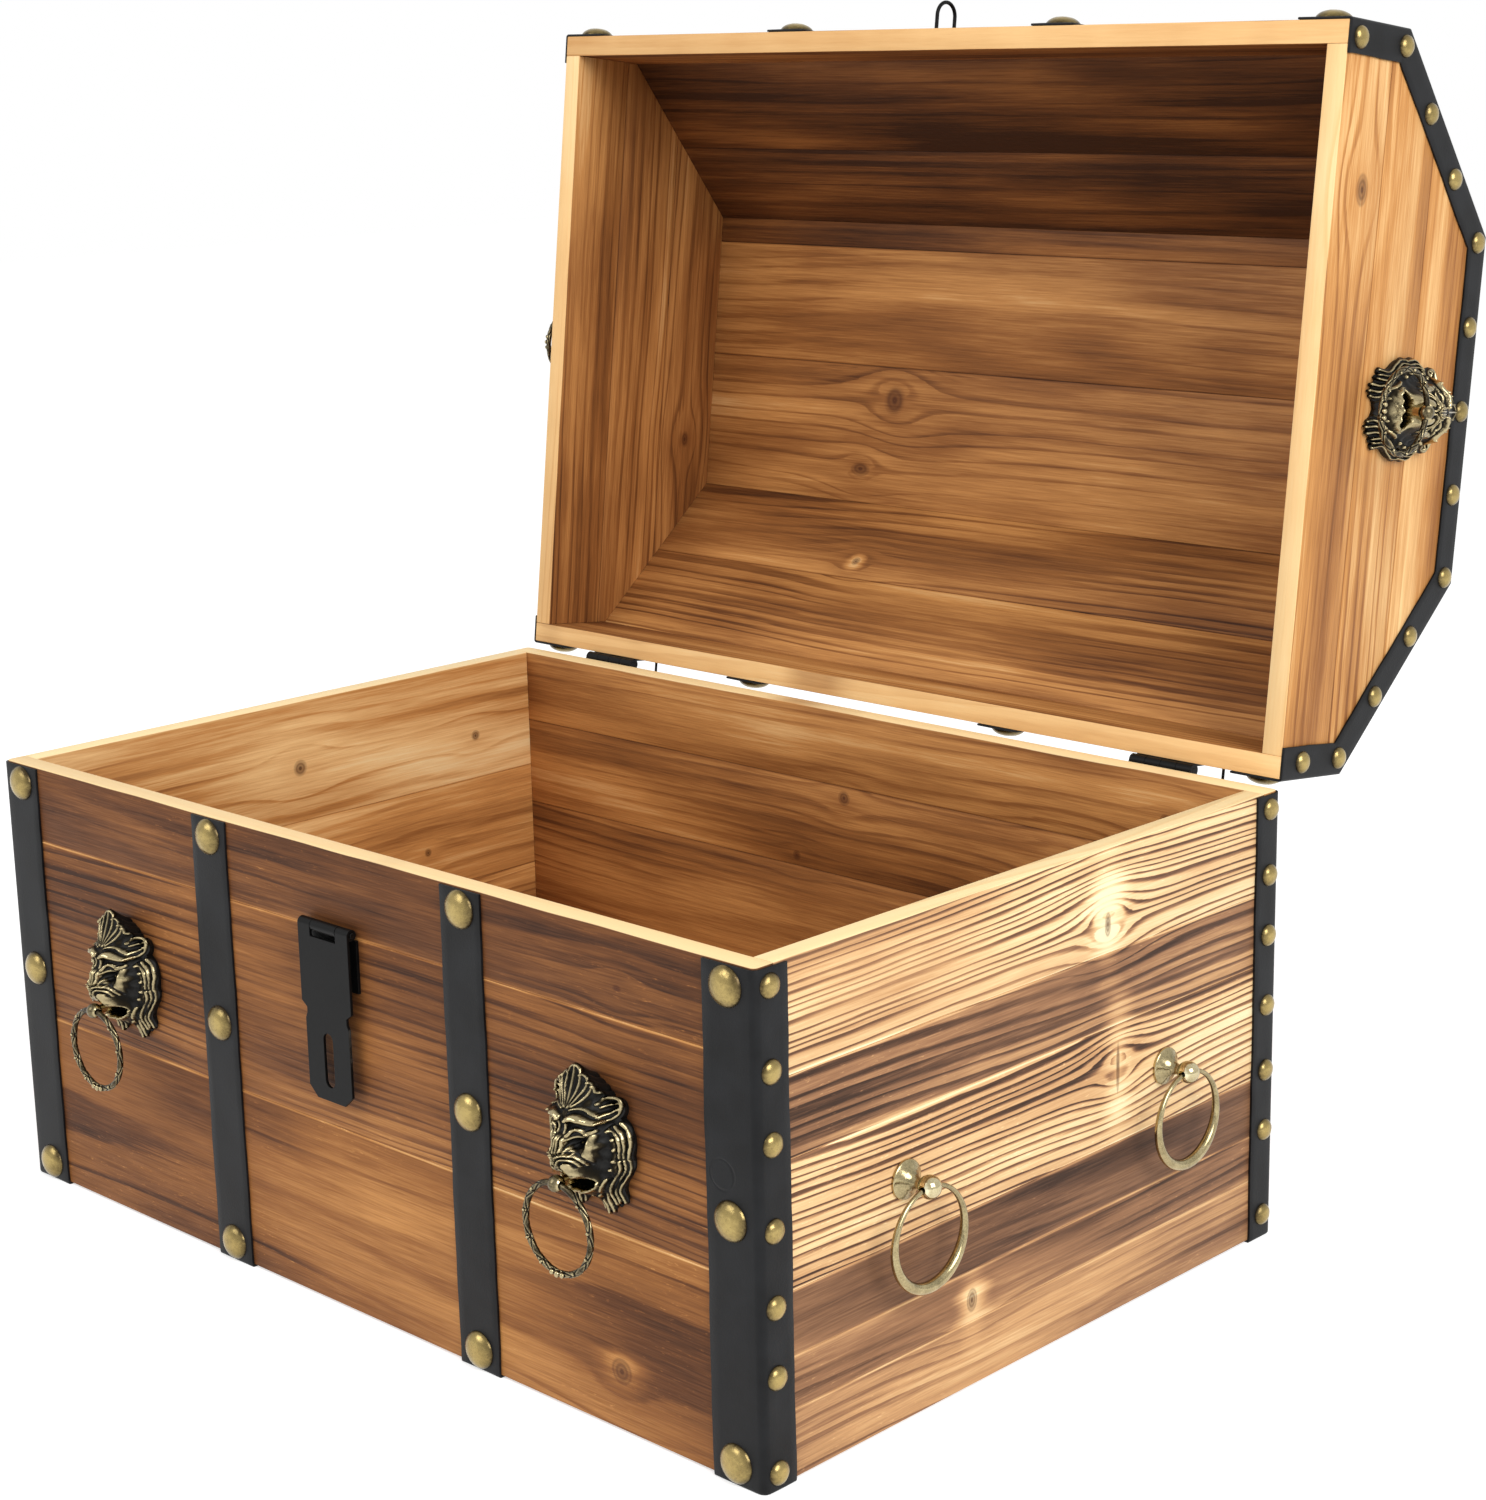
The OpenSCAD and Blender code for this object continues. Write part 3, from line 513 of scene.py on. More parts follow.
def knot_marks(along, across, knot, ripple, blaze):
    """How dark the heart of a knot makes a point, and how much the point is in its glow."""
    far = from_knot(along, across, knot, knot["size"])
    rings = (far * 14).math("SINE") * 0.12
    heart = 1 - (far + ripple * 0.8).step(0.8, 1.15)
    dark = heart * (rings + (1 - far.step(0.0, 1.0)) * 0.35 + 0.45)
    glow = 1 - (from_knot(along, across, knot, knot["glow"]) + blaze).step(0.0, 1.0)
    return dark, glow

# %% [markdown]
# The finish of a wall is worked out in this order: where the point lies between two years, how the
# flame and the brush treated it, what a seam or a knot changes, and how the sawn rim stayed pale.
# Wander and dip move the heart of the tree, ripple and uneven make the years uneven, here fades their
# lines in places, and torn is where the brush tore the fibres out.

# %% Torched pine
def on_rim(across, rim):
    """1 on the sawn rim at this height across the face, and 0 on the face itself."""
    near, far = RIM_EDGE
    if rim == 0:
        return 1 - across.step(near, far)
    return across.step(rim - far, rim - near)


def pine(name, face, knots, seams, rim=None, brushed=False, tones=BURNT):
    """Torched pine for the boards of one face. Its rim is the height of the sawn edge across it.

    The seams of brushed boards are rough and pale, and those of the others are fine and dark.
    """
    wood = Finish(name)
    spot = wood.node("TexCoord", output="Object")
    place = wood.node("Mapping", {"vector_type": "TEXTURE"},
                      {"Vector": spot, "Location": face.origin, "Rotation": face.turn.to_euler()})
    along, across, through = wood.split(place)
    heart_across, heart_depth, year_gap = wood.split(
        wood.node("Attribute", {"attribute_name": "plank_years"}, output="Vector"))
    tone, contrast, seed = wood.split(
        wood.node("Attribute", {"attribute_name": "plank_look"}, output="Vector"))

    bent = flow_round(across, along, knots)
    wander = wood.noise(wood.join(along * 2.6, seed * 9, across * 3), detail=1.0)
    dip = wood.noise(wood.join(along * 2, seed * 17, 0.5), detail=0.0)
    ripple = wood.noise(wood.join(along * 16, across * 60, seed * 5), detail=1.0)
    sideways = bent - heart_across + wander * 0.022 + ripple * 0.0016
    deep = through + heart_depth + dip * 0.02
    radius = (sideways * sideways + deep * deep) ** 0.5
    uneven = wood.noise(wood.join(radius * 150, seed * 3, 0.0), detail=1.0)
    scratches = wood.noise(wood.join(along * 22, across * 620, seed * 4), detail=2.0, roughness=0.7)
    year = (radius / year_gap + uneven * 2.2 + scratches * 0.3).math("FRACT")
    late = year.step(*LINE_HEART) - year.step(*LINE_END)
    here = wood.noise(wood.join(along * 6, across * 15, seed * 21), detail=1.0)
    lines = (late - 0.3) * contrast * (here * 3.4 + contrast * 1.3 + 0.4).clamped()

    flames = wood.noise(wood.join(along * 4.5, radius * 42, seed * 8), detail=2.0)
    streaks = wood.noise(wood.join(along * 5, across * 170, seed * 6), detail=3.0, roughness=0.6)
    fibres = wood.noise(wood.join(along * 40, across * 1300, through * 900), detail=3.0, roughness=0.6)
    heat = wood.noise(wood.join(along * 5, across * 9, seed * 13), detail=2.0)
    burn = tone + heat * 0.5 + flames * 0.75 + streaks * 0.26 + scratches * 0.2 + fibres * 0.26
    for seam in seams:
        beside_seam = (across - seam * MM).math("ABSOLUTE") + streaks * 0.0014 + scratches * 0.001
        if brushed:
            rough_share = (heat * 2.5 + scratches * 2 + 0.6).clamped()
            burn = burn - (1 - beside_seam.step(*PALE_SEAM)) * rough_share * 0.42
        else:
            burn = burn + (1 - beside_seam.step(*DARK_SEAM)) * 0.14

    core = None
    for knot in knots:
        dark, glow = knot_marks(along, across, knot, ripple, flames * 1.2 + streaks)
        burn = burn - glow * knot["pale"]
        lines = lines * (1 - glow * 0.85)
        core = dark if core is None else core.math("MAXIMUM", dark)

    burn = burn + lines
    if brushed:
        torn = wood.noise(wood.join(along * 150, across * 800, seed * 30), detail=3.0, roughness=0.7)
        burn = burn - torn.step(0.08, 0.3) * (here * 4 + flames * 2 + 0.5).clamped() * 0.3
    burnt = wood.ramp(burn.clamped(), tones)
    if core is not None:
        burnt = wood.mix(core.clamped(), burnt, KNOT_HEART)
    if rim is not None:
        kept = BOX_RIM_BURN if rim == BOX_H else LID_RIM_BURN
        sawn = wood.ramp((burn * kept + 0.02).clamped(), BURNT)
        burnt = wood.mix(on_rim(across + ripple * 0.0012, rim), burnt, sawn)

    relief = late * contrast + fibres * 0.6 + streaks * 0.5
    return wood.wear(
        base_color=burnt,
        roughness=(0.5 + fibres * 0.3 + burn * 0.1).clamped(),
        specular_ior_level=0.2,
        normal=wood.bump(relief, 0.35 * MM, 0.7),
    )


# %% [markdown]
# Each wall was glued up from narrow planks before it was sawn to size. To get the same, every plain
# board of the frame is copied once for each plank, cut off on both sides of it with a bisect, and
# given softened edges.
# The planks carry their own numbers for the finish, as attributes: where the tree's heart was and how
# wide its years were, then how hard the flame was held, how strong its lines are, and a seed.

# %% Saw a board into planks
PLANK_EDGE = 0.45 * MM


def plank(node, name, face, low, high):
    """The part of a board between two cuts across its face."""
    piece = copy_of(node, name)
    for cut, keep_above in ((low, True), (high, False)):
        if cut is not None:
            with whole_mesh(piece):
                bpy.ops.mesh.bisect(plane_co=face.at(0, cut), plane_no=face.across, use_fill=True,
                                    clear_inner=keep_above, clear_outer=not keep_above)
    soften(piece, PLANK_EDGE, angle=20)
    return piece


def mark(piece, name, value):
    """Writes the same three numbers on every vertex of a piece."""
    attribute = piece.data.attributes.new(name, "FLOAT_VECTOR", "POINT")
    attribute.data.foreach_set("vector", list(value) * len(piece.data.vertices))


def boards(node, name, face, cuts, years, looks):
    """A wall glued up from planks. Years and looks hold three numbers for each plank."""
    edges = [None, *cuts, None]
    sawn = []
    for i, (low, high) in enumerate(zip(edges[:-1], edges[1:])):
        piece = plank(node, f"{name}_{i}", face, low, high)
        mark(piece, "plank_years", [v * MM for v in years[i]])
        mark(piece, "plank_look", looks[i])
        sawn.append(piece)
    wall = merge(sawn, name)
    smooth(wall, 25)
    return wall


def knot(along, across, wide, tall, swerve, pale=0.0, glow=(20.0, 20.0)):
    """A knot, in millimetres: its size, how far the grain swerves, and the pale glow round it."""
    return {"along": along * MM, "across": across * MM, "size": (wide * MM, tall * MM),
            "swerve": swerve * MM, "pale": pale, "glow": [g * MM for g in glow]}


def wall_of(node, name, cuts, planks, knots=(), **finish):
    """Saws a board into planks and gives it its grain. A plank is its years and then its look."""
    body = node.split("_")[0]
    made = boards(node, name + "_planks", faces[name], [c * MM for c in cuts],
                  [plank[:3] for plank in planks], [plank[3:] for plank in planks])
    fit(made, body, pine("pine_" + name, faces[name], knots, cuts, **finish), node)


# %% [markdown]
# The right-hand end is the showpiece of the photograph: pale, with strong dark lines, six planks, a
# column of knots and seams that frame dark planks. A plank's numbers are, in millimetres, how far
# across the board the tree's heart lay, how deep it lay and how wide a year was; then how dark the
# plank is, how strong its lines are, and a seed.

# %% Walls of the box
wall_of("box_right_board", "right", (30, 52.6, 80, 134, 168),
        [(-150, 60, 8, 0.60, 0.22, 0.1), (-90, 60, 8, 0.63, 0.24, 0.7), (-120, 80, 9, 0.78, 0.20, 0.3),
         (-60, 60, 3.5, 0.46, 0.58, 0.55), (-80, 70, 6, 0.64, 0.38, 0.9),
         (60, 60, 3.1, 0.42, 0.62, 0.2)],
        [knot(45.3, 181, 2.0, 5, 12, pale=0.36, glow=(17, 42)),
         knot(53.3, 115, 1.2, 12, 10, pale=0.34, glow=(15, 46)),
         knot(-45.5, 39.5, 3.0, 5.0, 9, pale=0.45, glow=(16, 20))],
        rim=BOX_H, brushed=True, tones=ASHEN)
wall_of("box_left_board", "left", (46, 92, 150),
        [(-80, 50, 6, 0.48, 0.16, 0.4), (-50, 60, 6, 0.46, 0.16, 0.25), (60, 60, 7, 0.43, 0.14, 0.8),
         (120, 55, 8, 0.38, 0.16, 0.6)],
        [knot(2, 179, 4.5, 4.5, 12), knot(-120, 174, 3, 3, 8), knot(-82, 114, 2.5, 2.5, 7)],
        rim=BOX_H)
wall_of("box_front_board", "front", (87, 178),
        [(40, 60, 9, 0.69, 0.22, 0.35), (200, 60, 3.6, 0.77, 0.24, 0.65),
         (290, 60, 11, 0.84, 0.18, 0.15)],
        [knot(174.6, 27, 5.4, 5.4, 14, pale=0.24, glow=(25, 16)), knot(179, 191, 2.5, 1.6, 7)],
        rim=BOX_H, brushed=True)
wall_of("box_back_board", "back", (60, 128, 176),
        [(-60, 60, 7, 0.60, 0.16, 0.5), (30, 55, 6, 0.58, 0.16, 0.3), (80, 65, 6, 0.56, 0.14, 0.75),
         (110, 60, 8, 0.54, 0.14, 0.9)],
        [knot(-140, 160, 5, 5, 12), knot(-200, 193.5, 3, 2.5, 8), knot(2, 170, 4, 4, 9),
         knot(36, 133.5, 2.5, 2.5, 7), knot(-109.5, 83, 3, 3, 8)],
        rim=BOX_H)
wall_of("box_bottom_panel", "bottom", (-60, 40),
        [(-160, 60, 6, 0.45, 0.2, 0.2), (-90, 60, 7, 0.42, 0.2, 0.5), (-60, 60, 6, 0.46, 0.2, 0.8)])

# %% [markdown]
# The lid's five long boards are mitred where they meet, and its two ends are cut to the same outline.
# They are dressed with the same function; only the numbers of the planks differ.

# %% Boards of the lid
wall_of("lid_front_board", "lid_front", (), [(-60, 60, 8, 0.70, 0.2, 0.3)], rim=0)
wall_of("lid_front_slope", "lid_front_slope", (64,),
        [(-40, 60, 9, 0.88, 0.14, 0.6), (-20, 60, 9, 0.90, 0.14, 0.1)])
wall_of("lid_top_board", "lid_top", (18, 83),
        [(-60, 60, 10, 0.82, 0.14, 0.45), (-60, 60, 8, 0.58, 0.12, 0.7), (20, 60, 7, 0.60, 0.16, 0.2)],
        [knot(-99, 101, 8, 9, 18), knot(-121, 141, 7, 4, 12)])
wall_of("lid_back_slope", "lid_back_slope", (58,),
        [(-40, 60, 5.5, 0.58, 0.26, 0.85), (-20, 60, 5.5, 0.58, 0.24, 0.4)],
        [knot(-94, 46, 2.6, 2.6, 9, pale=0.4, glow=(9, 9))])
wall_of("lid_back_board", "lid_back", (), [(-60, 60, 8, 0.56, 0.18, 0.9)], rim=LID_SIDE_H)
wall_of("lid_end_right", "lid_right", (38, 80),
        [(-60, 60, 6, 0.47, 0.22, 0.3), (-40, 60, 6, 0.43, 0.2, 0.7), (-30, 60, 7, 0.46, 0.18, 0.5)],
        [knot(-96.5, 22.6, 7, 4.5, 14)], rim=0)
wall_of("lid_end_left", "lid_left", (38, 80),
        [(-60, 60, 6, 0.58, 0.18, 0.35), (-40, 60, 6, 0.58, 0.18, 0.75),
         (-30, 60, 7, 0.60, 0.18, 0.55)],
        [knot(-52, 100, 5, 3, 10)], rim=0)

# %% [markdown]
# The straps are black imitation leather with a fine grain, glued and nailed on. A strap is a soft
# sheet, so it starts as a grid that is laid over the box point by point: its rows run along the
# strap and its columns across it. The edges wander a little, as hand-cut ones do. Solidify gives
# the sheet its thickness, and a small bevel takes the hardness off its edges.

# %% Leather
LEATHER_T = 1.2 * MM
LEATHER_FULL = 0.9      # share of its thickness that is modelled, so that it clears the wood
LEATHER_EDGE = 0.35 * MM
MISS_PLACE = faces["front"].at(236 * MM, 129 * MM)      # where a nail was pulled out again
MISS_R = 6.5 * MM


def leather(name, struck=False):
    """Matte black imitation leather. Struck leather has the mark of a nail that was pulled out."""
    hide = Finish(name)
    spot = hide.node("TexCoord", output="Object")
    grain = hide.node("TexVoronoi", {"feature": "F1"}, {"Vector": spot, "Scale": 1700.0},
                      output="Distance")
    creases = hide.noise(spot, 900.0, 3.0, 0.6)
    clouds = hide.noise(spot, 60.0, 3.0)
    height = grain * 0.5 + creases * 0.8
    if struck:
        away = hide.node("VectorMath", {"operation": "DISTANCE"}, {0: spot, 1: MISS_PLACE},
                         output="Value")
        ring = 1 - ((away - MISS_R).math("ABSOLUTE") + clouds * 0.002).step(0.0, MM)
        height = height - ring * 2.5
    tone = hide.ramp(clouds + 0.5, [(0.3, paint(9, 9, 10)), (0.7, paint(25, 26, 28))])
    return hide.wear(base_color=tone, roughness=(0.44 + clouds * 0.16 + creases * 0.1).clamped(),
                     specular_ior_level=0.17, normal=hide.bump(height, 0.12 * MM, 0.6))


def sheet(name, rows, columns, place):
    """A grid of points laid by place(row, column), as the outer skin of a strap."""
    bpy.ops.mesh.primitive_grid_add(x_subdivisions=columns - 1, y_subdivisions=rows - 1, size=2)
    made = bpy.context.object
    made.name = name
    order = sorted(range(len(made.data.vertices)),
                   key=lambda i: (round(made.data.vertices[i].co.y, 5), made.data.vertices[i].co.x))
    for n, i in enumerate(order):
        made.data.vertices[i].co = place(n // columns, n % columns)
    made.data.update()
    return made


def hide_from(skin, outside):
    """Closes the points that fall together in a mitre, and gives a skin its thickness inwards."""
    with whole_mesh(skin):
        bpy.ops.mesh.remove_doubles(threshold=SEAM_GAP)
        bpy.ops.mesh.dissolve_degenerate(threshold=SAME_PLACE)
    middle = skin.data.polygons[len(skin.data.polygons) // 2]
    if middle.normal.dot(Vector(outside) - middle.center) < 0:
        with whole_mesh(skin):
            bpy.ops.mesh.flip_normals()
    modify(skin, "SOLIDIFY", thickness=LEATHER_T * LEATHER_FULL, offset=-1)
    soften(skin, LEATHER_EDGE, angle=40)
    smooth(skin, 40)
    return skin


def sway(distance, seed, reach=0.35 * MM):
    """How far a hand-cut edge wanders from its line."""
    return reach * (math.sin(distance * 61 + seed * 5) + 0.6 * math.sin(distance * 143 + seed * 11)
                    + 0.4 * math.sin(distance * 320 + seed * 17)) / 2


def between(first, second, share):
    return first + (second - first) * share


def spaced(start, end, gap):
    """Evenly spaced numbers from start to end, at most gap apart."""
    count = max(1, math.ceil(abs(end - start) / gap - 1e-6))
    return [between(start, end, i / count) for i in range(count + 1)]


# %% [markdown]
# A corner strap lies on two walls and is folded once round the upright corner. At the floor it is
# folded again, under the walls, where the two folds meet in a mitre. So each row is a height and a
# depth under the box, and each column is a share of one of the strap's two legs.

# %% Corner straps
STRAP_TOP = BOX_H - 0.8 * MM
STRAP_STEP = 5 * MM
STRAP_UNDER = 9 * MM    # how far a strap reaches under the box
FOOT_FOLD_R = 1.1 * MM  # radius of its fold at the floor
FOOT_FOLD_TOP = 1.6 * MM
FRONT_LEG = 28 * MM
SIDE_LEG = 18 * MM
FOLD_R = 3.7 * MM       # radius of the fold round the upright corner


def strap_rows():
    """Height and depth under the box of each row of a strap, from the top down."""
    fall = [(z, 0.0) for z in spaced(STRAP_TOP, FOOT_FOLD_TOP, STRAP_STEP)]
    turn = [(FOOT_FOLD_R * (1 - math.sin(a)), FOOT_FOLD_R * (1 - math.cos(a)))
            for a in (math.radians(d) for d in (25, 50, 75, 90))]
    return fall + turn + [(0.0, between(FOOT_FOLD_R, STRAP_UNDER, t)) for t in (0.5, 1.0)]


def corner_strap(name, sx, sy, seed):
    rows = strap_rows()
    legs = [("front", t) for t in spaced(1, 0, 0.2)[:-1]]
    legs += [("fold", t) for t in spaced(0, 1, 0.17)]
    legs += [("side", t) for t in spaced(0, 1, 0.25)[1:]]
    centre = Vector((sx * (BOX_W / 2 + LEATHER_T - FOLD_R), sy * (BOX_D / 2 + LEATHER_T - FOLD_R), 0))

    def place(row, column):
        z, under = rows[row]
        leg, share = legs[column]
        swell = 0.15 * MM * math.sin(z * 90 + seed) * math.sin(3 * share)
        if leg == "fold":
            turn = share * math.pi / 2
            corner = centre - Vector((sx, sy, 0)) * max(0.0, under - FOLD_R)
            reach = max(0.0, FOLD_R - under)
            return corner + Vector((sx * reach * math.sin(turn), sy * reach * math.cos(turn), z))
        inset = max(FOLD_R, under)
        if leg == "front":
            outer = BOX_W / 2 + LEATHER_T - FRONT_LEG - sway(z, seed)
            x = between(BOX_W / 2 + LEATHER_T - inset, outer, share)
            return Vector((sx * x, sy * (BOX_D / 2 + LEATHER_T + swell - under), z))
        outer = BOX_D / 2 + LEATHER_T - SIDE_LEG - sway(z, seed + 3)
        y = between(BOX_D / 2 + LEATHER_T - inset, outer, share)
        return Vector((sx * (BOX_W / 2 + LEATHER_T + swell - under), sy * y, z))

    skin = sheet(name, len(rows), len(legs), place)
    return hide_from(skin, (sx * BOX_W, sy * BOX_D, BOX_H / 2))


black_leather = leather("black_leather")
struck_leather = leather("struck_leather", struck=True)
for i, (row_name, sy) in enumerate((("front", -1), ("back", 1))):
    for side, sx in (("left", -1), ("right", 1)):
        node = f"corner_strap_{row_name}_{side}"
        strap = corner_strap(node + "_leather", sx, sy, 2 * i + sx)
        finish = struck_leather if (sx, sy) == (1, -1) else black_leather
        fit(strap, "box", finish, node)

# %% [markdown]
# The middle straps lie flat on one board and are folded under it. Each swells a little along its
# middle, where the glue holds it off the wood.

# %% Middle straps of the box
MIDDLE_X = 87 * MM
MIDDLE_W = 25 * MM


def middle_strap(name, sx, sy, seed):
    rows = strap_rows()
    shares = spaced(-0.5, 0.5, 0.17)

    def place(row, column):
        z, under = rows[row]
        share = shares[column]
        edge = sway(z, seed + (share > 0)) * 2 * abs(share)
        swell = 0.2 * MM * math.cos(math.pi * share) * math.sin(z * 70 + seed)
        return Vector((sx * MIDDLE_X + share * MIDDLE_W + edge,
                       sy * (BOX_D / 2 + LEATHER_T + swell - under), z))

    skin = sheet(name, len(rows), len(shares), place)
    return hide_from(skin, (sx * MIDDLE_X, sy * BOX_D, BOX_H / 2))


for row_name, sy in (("front", -1), ("back", 1)):
    for side, sx in (("left", -1), ("right", 1)):
        node = f"{row_name}_strap_{side}"
        strap = middle_strap(node + "_leather", sx, sy, 5 * sx + sy)
        fit(strap, "box", black_leather, node)

# %% [markdown]
# On the lid the straps follow its five-sided outline. Points on the outline are named by a board and
# a share of its length, so an outline that is grown or shrunk keeps its mitres, and so do the straps.

# %% Straps of the lid
TRIM_W = 14.5 * MM
LID_FOLD_R = 1.6 * MM
BEND_NEAR = 1.2 * MM    # the rows nearest to a bend keep it tight
BEND_CLEAR = 4 * MM     # and from here on the rows are evenly spaced
LID_STEP = 7 * MM
slat_lengths = [math.dist(start, end) for start, end in zip(corners[:-1], corners[1:])]


def lid_rows():
    """Board and share of each row of a lid strap, from the front rim round to the back rim."""
    rows = []
    for board, length in enumerate(slat_lengths):
        bend, flat, step = (d / length for d in (BEND_NEAR, BEND_CLEAR, LID_STEP))
        rows += [(board, share) for share in (0.0, bend, *spaced(flat, 1 - flat, step), 1 - bend)]
    return rows + [(len(slat_lengths) - 1, 1.0)]


def on_outline(row, grow):
    """Place in the lid's outline, across and up, of a row of a strap."""
    board, share = row
    outline = lid_outline(grow)
    start, end = outline[board], outline[board + 1]
    return between(start[0], end[0], share), between(start[1], end[1], share)


def lid_middle_strap(name, sx, seed):
    rows = lid_rows()
    shares = spaced(-0.5, 0.5, 0.17)

    def place(row, column):
        share = shares[column]
        edge = sway(row * LID_STEP, seed + (share > 0)) * 2 * abs(share)
        y, z = on_outline(rows[row], LEATHER_T + 0.1 * MM * math.cos(math.pi * share))
        return lid_point(sx * MIDDLE_X + share * MIDDLE_W + edge, y, z)

    skin = sheet(name, len(rows), len(shares), place)
    return hide_from(skin, lid_point(sx * MIDDLE_X, 0, LID_H * 3))


def lid_trim(name, sx, seed):
    rows = lid_rows()
    legs = [("slat", t) for t in spaced(1, 0, 0.2)[:-1]]
    legs += [("fold", t) for t in spaced(0, 1, 0.25)]
    legs += [("end", t) for t in spaced(0, 1, 0.25)[1:]]
    end_x = LID_W / 2 + LEATHER_T

    def place(row, column):
        leg, share = legs[column]
        edge = sway(row * LID_STEP, seed) * share
        if leg == "slat":
            x, grow = end_x - between(LID_FOLD_R, FRONT_LEG, share) + edge, LEATHER_T
        elif leg == "fold":
            turn = share * math.pi / 2
            x = end_x - LID_FOLD_R * (1 - math.sin(turn))
            grow = LEATHER_T - LID_FOLD_R * (1 - math.cos(turn))
        else:
            x, grow = end_x, LEATHER_T - between(LID_FOLD_R, TRIM_W + LEATHER_T, share) + edge
        y, z = on_outline(rows[row], grow)
        return lid_point(sx * x, y, z)

    skin = sheet(name, len(rows), len(legs), place)
    return hide_from(skin, lid_point(sx * LID_W, 0, LID_H * 2))


for side, sx in (("left", -1), ("right", 1)):
    fit(lid_trim(f"lid_trim_{side}_leather", sx, 4 + sx), "lid", black_leather,
        f"lid_trim_{side}")
    fit(lid_middle_strap(f"lid_strap_{side}_leather", sx, 8 + sx), "lid",
        black_leather, f"lid_strap_{side}")

# %% [markdown]
# The nails have wide domes, pressed from thin brass that was then antiqued: dark in its pits. Round
# its rim each dome is painted darker as shade, and on top it is paler, partly rubbed and partly a
# painted highlight. Each point carries how high it stands on the dome, from 0 to 1, which the finish
# reads. One dome is modelled from a sphere, and the rest are copies, each turned a little so that no
# two catch the light alike.

# %% Nails
LARGE_NAIL = (17 * MM, 3.9 * MM)    # across, high
SMALL_NAIL = (10.5 * MM, 2.8 * MM)
DOME_SHOULDER = 2.3     # the larger, the fuller the dome is near its rim
DOME_TOP = 0.62         # the smaller, the flatter it is on top
DOME_DENTS = 0.03       # depth of the beaten dents, as a share of the height


def write_rub_and_painted_light(piece, share):
    """Writes on each point, from 0 to 1, how much its metal is rubbed and painted pale as highlight."""
    attribute = piece.data.attributes.new("rub", "FLOAT", "POINT")
    attribute.data.foreach_set("value", share.astype(np.float32))


def antique_brass(name, light, dark, rough):
    metal = Finish(name)
    spot = metal.node("TexCoord", output="Object")
    pits = metal.noise(spot, 900.0, 4.0, 0.7)
    clouds = metal.noise(spot, 120.0, 2.0)
    crown = metal.node("Attribute", {"attribute_name": "rub"}, output="Fac")
    # Lower on the dome the colour is painted darker as shade round the rim, and higher up paler as a
    # painted highlight; the pits and clouds are tarnish.
    tarnish_and_painted_shade = (pits * 0.55 + clouds * 0.8 + 0.86 - crown * 0.62).clamped()
    tone = metal.ramp(tarnish_and_painted_shade, [(0.2, light), (0.5, [between(a, b, 0.45) for a, b in zip(light, dark)]),
                            (0.85, dark)])
    return metal.wear(base_color=tone, metallic=(1.0 - tarnish_and_painted_shade * 0.25).clamped(),
                      roughness=(rough + pits * 0.3 + clouds * 0.15).clamped(),
                      normal=metal.bump(pits + clouds, 0.15 * MM, 0.35))


def nail_dome(width, height, seed):
    """A nail's dome with its rim in the plane Z = 0, facing +Z."""
    bpy.ops.mesh.primitive_uv_sphere_add(segments=28, ring_count=18, radius=1)
    dome = bpy.context.object
    with whole_mesh(dome):
        bpy.ops.mesh.bisect(plane_co=(0, 0, 0), plane_no=(0, 0, 1), clear_inner=True, use_fill=True)
    for vertex in dome.data.vertices:
        x, y, z = vertex.co
        turn = math.atan2(y, x)
        far = math.hypot(x, y)
        beaten = 1 + DOME_DENTS * far * math.sin(5 * turn + seed) * math.sin(7 * far + 2 * seed)
        rise = (1 - far ** DOME_SHOULDER) ** DOME_TOP if far < 1 and z > SAME_PLACE else 0.0
        vertex.co = (x * width / 2, y * width / 2, rise * height * beaten)
    # The height on the dome is what the finish paints as highlight on top and as shade round the rim.
    write_rub_and_painted_light(dome, np.array([vertex.co.z / height for vertex in dome.data.vertices]))
    smooth(dome, 50)
    return dome


def nails(name, width, height, spots):
    """Copies one dome to every spot and joins them. A spot is a matrix that faces outwards."""
    first = nail_dome(width, height, len(spots))
    made = []
    for i, spot in enumerate(spots):
        copy = first.copy()
        copy.data = first.data.copy()
        bpy.context.scene.collection.objects.link(copy)
        copy.matrix_world = spot @ Matrix.Rotation(i * 2.4, 4, "Z")
        settle(copy)
        made.append(copy)
    bpy.data.objects.remove(first)
    return merge(made, name)


# %% [markdown]
# Each strap has three large nails on a long wall of the box, and each corner strap has seven small
# ones on the end. Those were driven by eye, so each has its lift: how far it sits above its even
# place, as a share of the gap.

# %% Nails of the box
LARGE_X = (BOX_W - FRONT_LEG) / 2
LARGE_MARGIN = 9.5 * MM
CORNER_MIDDLE = 111 * MM    # height of the middle nail on a corner strap
STRAP_MIDDLE = 117 * MM     # and on a middle strap
SMALL_MARGIN = 9 * MM
SMALL_INSET = 7 * MM
FRONT_LIFTS = (-0.04, 0.18, 0.07, 0.03, 0.1, -0.01, 0.03)
BACK_LIFTS = (0.08, 0.36, 0.25, 0.21, 0.23, 0.1, 0.04)
nail_brass = antique_brass("nail_brass", paint(170, 149, 94), paint(62, 50, 28), 0.25)

large_columns = [(-LARGE_X, CORNER_MIDDLE), (-MIDDLE_X, STRAP_MIDDLE), (MIDDLE_X, STRAP_MIDDLE),
                 (LARGE_X, CORNER_MIDDLE)]
box_large = [faces[wall].matrix(x, z, LEATHER_T) for wall in ("front", "back")
             for x, middle in large_columns for z in (LARGE_MARGIN, middle, BOX_H - LARGE_MARGIN)]
fit(nails("box_large_domes", *LARGE_NAIL, box_large), "box", nail_brass,
    "box_large_nails")

